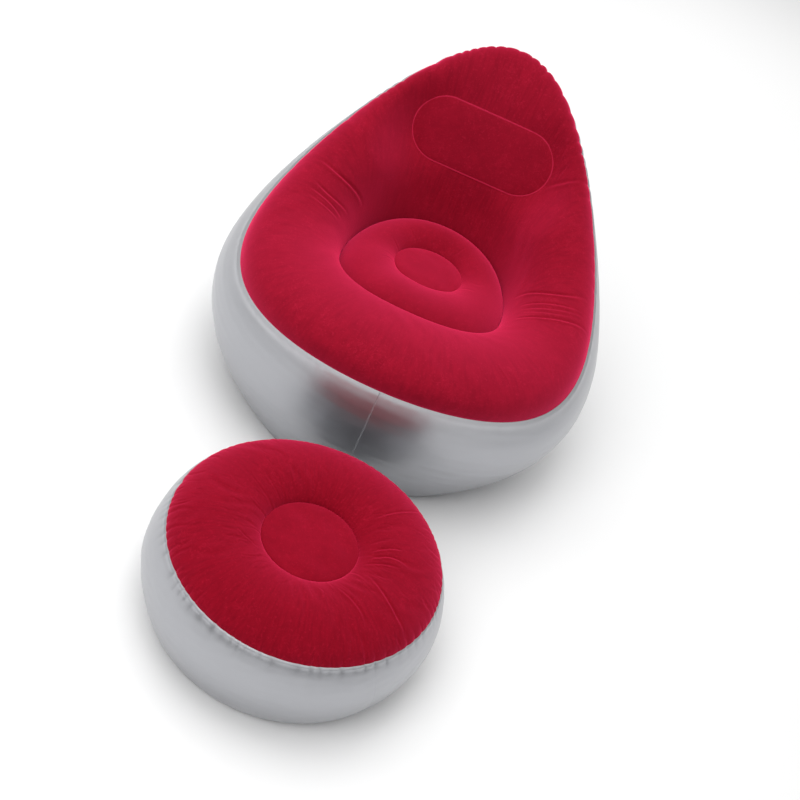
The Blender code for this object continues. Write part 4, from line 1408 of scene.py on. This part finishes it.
@dataclass
class LoungeChair:
    """The chair: top, seat, headrest, side wall, base and valve."""

    rim: Loop = Loop(0.420, 0.488, -0.0125, Heights(0.330, 0.404, 0.747), 0.267, 0.042)
    base: Loop = Loop(0.358, 0.481, 0.006, Heights.even(0.0), 0.125)
    seat: Loop = Loop(0.217, 0.240, 0.001, Heights(0.351, 0.294, 0.304), 0.047, 0.050, 0.100)
    disc: Loop = Loop(0.090, 0.0899, 0.037, Heights(0.3137, 0.309, 0.3043))
    crowns: Heights = Heights(0.070, 0.080, 0.048)
    bulges: Heights = Heights(0.036, 0.095, 0.084)
    headrest: Headrest = Headrest()

    def shell(self) -> Shell:
        """The chair's seams and crowns."""
        return Shell("chair", self.rim, self.base, self.seat, self.crowns, 0.80, self.bulges,
                     headrest=self.headrest)

    def arm_folds(self) -> Folds:
        """Creases where the arms meet the back, and the puckers beside the headrest."""
        return Folds.traced([
            Crease((-98.5, -99.0, -101.0, -104.0, -110.0), (0.08, 0.30, 0.50, 0.67, 0.84),
                   0.0048, 0.0046),
            Crease((-90.5, -89.5, -92.0, -96.0), (0.22, 0.45, 0.66, 0.82), 0.0040, 0.0026),
            Crease((-87.0, -87.0, -89.5), (0.24, 0.50, 0.80), 0.0036, 0.0020),
            Crease((-84.0, -84.0, -86.5), (0.30, 0.54, 0.78), 0.0034, 0.0013),
            Crease((97.0, 91.5, 89.0, 89.5, 91.5), (0.92, 0.69, 0.44, 0.24, 0.05), 0.0042, 0.0032),
            Crease((86.0, 84.5, 84.0, 85.5), (0.84, 0.60, 0.36, 0.12), 0.0034, 0.0022),
            Crease((82.5, 81.5, 82.0, 84.5), (0.84, 0.58, 0.32, 0.08), 0.0032, 0.0014),
            Crease((79.5, 79.0, 80.0, 82.0), (0.80, 0.56, 0.34, 0.16), 0.0030, 0.0009),
            Crease((74.5, 75.5, 77.0, 79.0, 81.0), (0.86, 0.62, 0.42, 0.22, 0.04), 0.0042, 0.0032),
            Crease((135.0, 130.0, 127.5), (0.34, 0.14, 0.0), 0.0050, 0.0026),
            Crease((133.0, 134.5, 136.0), (0.22, 0.12, 0.03), 0.0034, 0.0011),
            Crease((137.0, 139.5, 141.0), (0.20, 0.12, 0.03), 0.0034, 0.0014),
            Crease((142.0, 144.0, 145.5), (0.19, 0.12, 0.04), 0.0034, 0.0012),
            Crease((147.0, 148.0, 149.0), (0.18, 0.12, 0.05), 0.0034, 0.0010),
            Crease((34.0, 34.6, 35.5), (0.42, 0.33, 0.24), 0.0026, -0.0006),
            Crease((56.5, 55.0, 53.0), (0.30, 0.23, 0.16), 0.0026, -0.0006),
        ])

    def build(self, palette: Palette) -> None:
        """Build every piece of the chair."""
        shell = self.shell()
        rim = Puckers(76, Heights(0.0006, 0.0008, 0.0050), 0.015, 3)
        crease = Puckers(46, Heights(0.0004, 0.0007, 0.0008), 0.010, 7)
        gathers = Puckers(34, Heights(0.0003, 0.0009, 0.0003), 0.008, 9)
        FlockedTop(shell, rim, crease, self.arm_folds()).build(palette)
        ring_folds = Folds.scattered(17, 14, (0.55, 0.75), 0.30, 0.0035, 0.0005, 6.0)
        SeatRing(self.seat, self.disc).build(palette, gathers, ring_folds)
        WeldedDisc("chair", "chair_seat_disc", self.disc, 0.008).build(palette)
        HeadrestPanel(self.headrest).build(palette)
        valve = Valve("chair")
        SideWall(shell, rim, valve, (1.0, 1.0)).build(palette)
        BasePanel(shell, (self.seat, self.disc)).build(palette)
        valve.build(palette)


@dataclass
class Footstool:
    """The round footstool: top, disc, side wall, base and valve."""

    distance: float = 0.902
    rim_radius: float = 0.290
    rim_height: float = 0.216
    base_radius: float = 0.276
    disc_radius: float = 0.1025
    disc_height: float = 0.232
    crown: float = 0.040
    top_fullness: float = 0.65
    bulge: float = 0.034

    def circle(self, radius: float, height: float) -> Loop:
        """Level circle about the footstool's axis."""
        return Loop(radius, radius, -self.distance, Heights.even(height))

    def shell(self) -> Shell:
        """The footstool's seams and crowns."""
        return Shell("footstool", self.circle(self.rim_radius, self.rim_height),
                     self.circle(self.base_radius, 0.0),
                     self.circle(self.disc_radius, self.disc_height), Heights.even(self.crown),
                     1.0, Heights.even(self.bulge), self.top_fullness)

    def folds(self) -> Folds:
        """Fine radial creases from the disc outwards and from the rim inwards."""
        inner = Folds.scattered(23, 84, (0.52, 0.80), 0.24, 0.0030, 0.0005, 5.0)
        outer = Folds.scattered(29, 96, (-0.10, 0.06), 0.20, 0.0032, 0.0007, 3.0)
        fine = Folds.scattered(41, 130, (0.05, 0.70), 0.22, 0.0028, 0.0003, 7.0, even=False)
        broad = Folds.scattered(37, 16, (0.10, 0.35), 0.55, 0.0070, 0.0009, 9.0, even=False)
        seen = Folds.traced([
            Crease((71.5, 67.0, 63.5, 62.5, 62.0), (0.81, 0.61, 0.41, 0.24, 0.10), 0.0034, 0.0022),
            Crease((38.0, 43.5, 44.8, 44.5), (0.86, 0.69, 0.48, 0.30), 0.0030, 0.0016),
            Crease((-64.0, -55.5, -46.0), (0.70, 0.80, 0.88), 0.0030, 0.0016),
            Crease((91.0, 96.0, 96.5, 94.5), (0.90, 0.80, 0.67, 0.50), 0.0034, 0.0022),
            Crease((100.0, 104.0, 105.0), (0.90, 0.76, 0.56), 0.0030, 0.0018),
            Crease((83.0, 88.0, 90.0), (0.92, 0.76, 0.56), 0.0030, 0.0014),
            Crease((136.0, 136.0, 135.0, 136.0), (0.80, 0.57, 0.37, 0.08), 0.0030, 0.0016),
        ])
        return Folds.joined(inner, outer, fine, broad, seen)

    def build(self, palette: Palette) -> None:
        """Build every piece of the footstool."""
        shell = self.shell()
        rim = Puckers(78, Heights.even(0.0026), 0.012, 13)
        crease = Puckers(36, Heights.even(0.0008), 0.008, 15)
        FlockedTop(shell, rim, crease, self.folds(), columns=960, rows=96,
                   slack=0.0010, seed=19).build(palette)
        disc = self.circle(self.disc_radius, self.disc_height)
        WeldedDisc("footstool", "footstool_disc", disc, 0.006).build(palette)
        valve = Valve("footstool")
        SideWall(shell, rim, valve, (45.5, 52.0), columns=640, rows=80, ripple=0.0002,
                 roll=0.0010, roll_width=0.0040, rim_highlight_width=0.005, seed=57).build(palette)
        BasePanel(shell, (disc,), columns=192, rows=64).build(palette)
        valve.build(palette)


@dataclass(frozen=True)
class Studio:
    """Pale floor, soft light and the camera at the photograph's view."""

    azimuth: float = math.radians(-1.722)
    elevation: float = math.radians(40.094)
    roll: float = math.radians(24.833)
    distance: float = 3.4295
    target: tuple[float, float, float] = (0.0687, -0.1068, 0.0)
    focal_px: float = 1321.3
    frame_px: float = 800.0
    sensor_mm: float = 36.0
    sky: tuple[float, float, float, float] = (0.60, 0.98, 0.40, 1.25)
    floor_half: float = 30.0

    def build(self) -> None:
        """Set up the floor, the surroundings, the lights and the camera."""
        self.floor()
        self.world()
        self.lamp("top_fill", (-0.9, 0.0, 3.2), (-0.1, -0.2, 0.2), 3.0, 57.0)
        self.lamp("front_fill", (-1.2, -2.9, 2.6), (0.0, -0.2, 0.3), 2.0, 42.0)
        self.lamp("back_fill", (0.8, 3.2, 2.4), (0.0, 0.0, 0.4), 2.4, 28.0)
        self.camera()
        bpy.context.scene.view_settings.view_transform = "Standard"

    def floor(self) -> None:
        """Wide square under the object."""
        corners = np.array(((-1.0, -1.0, 0.0), (1.0, -1.0, 0.0), (1.0, 1.0, 0.0), (-1.0, 1.0, 0.0)))
        item = meshed("studio_floor", corners * self.floor_half, [(0, 1, 2, 3)])
        item.data.materials.append(FloorFinish().material())

    def world(self) -> None:
        """White surroundings, dimmer at the horizon than overhead by a smooth step of height."""
        world = bpy.data.worlds.new("studio")
        world.use_nodes = True
        nodes, links = world.node_tree.nodes, world.node_tree.links
        shade = nodes["Background"]
        shade.inputs["Color"].default_value = (1.0, 1.0, 1.0, 1.0)
        direction = nodes.new("ShaderNodeTexCoord")
        parts = nodes.new("ShaderNodeSeparateXYZ")
        step = nodes.new("ShaderNodeMapRange")
        step.interpolation_type = "SMOOTHSTEP"
        for key, value in zip(("From Min", "From Max", "To Min", "To Max"), self.sky):
            step.inputs[key].default_value = value
        links.new(direction.outputs["Generated"], parts.inputs["Vector"])
        links.new(parts.outputs["Z"], step.inputs["Value"])
        links.new(step.outputs["Result"], shade.inputs["Strength"])
        bpy.context.scene.world = world

    def lamp(self, name: str, place: tuple[float, ...], aim: tuple[float, ...], size: float,
             power: float) -> None:
        """Square soft light that looks at a point and doesn't show in the silver."""
        data = bpy.data.lights.new(name, "AREA")
        data.size = size
        data.energy = power
        item = linked(name, data)
        item.location = place
        aimed = (Vector(aim) - Vector(place)).to_track_quat("-Z", "Y")
        item.rotation_euler = aimed.to_euler()
        item.visible_glossy = False

    def camera(self) -> None:
        """Camera that looks down at the target, rolled as the photograph is."""
        data = bpy.data.cameras.new("photo_view")
        data.sensor_width = self.sensor_mm
        data.lens = self.sensor_mm * self.focal_px / self.frame_px
        item = linked("photo_view", data)
        sine, cosine = math.sin(self.azimuth), math.cos(self.azimuth)
        ahead = -Vector((sine * math.cos(self.elevation), -cosine * math.cos(self.elevation),
                         math.sin(self.elevation)))
        level = Vector((cosine, sine, 0.0))
        upright = level.cross(ahead)
        across = math.cos(self.roll) * level + math.sin(self.roll) * upright
        above = -math.sin(self.roll) * level + math.cos(self.roll) * upright
        turn = Matrix((across, above, -ahead)).transposed().to_4x4()
        item.matrix_world = Matrix.Translation(Vector(self.target) - ahead * self.distance) @ turn
        bpy.context.scene.camera = item


def main() -> None:
    """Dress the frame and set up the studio."""
    logging.basicConfig(level=logging.INFO, format="%(name)s %(message)s")
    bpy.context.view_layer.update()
    palette = Palette.mixed()
    for band in ("chair_seat", "chair_disc", "chair_headrest", "footstool_disc"):
        frame["nodes"][band + "_band"].data.materials[0] = palette.silver
    LoungeChair().build(palette)
    Footstool().build(palette.deepened())
    Studio().build()


if __name__ == "__main__":
    main()
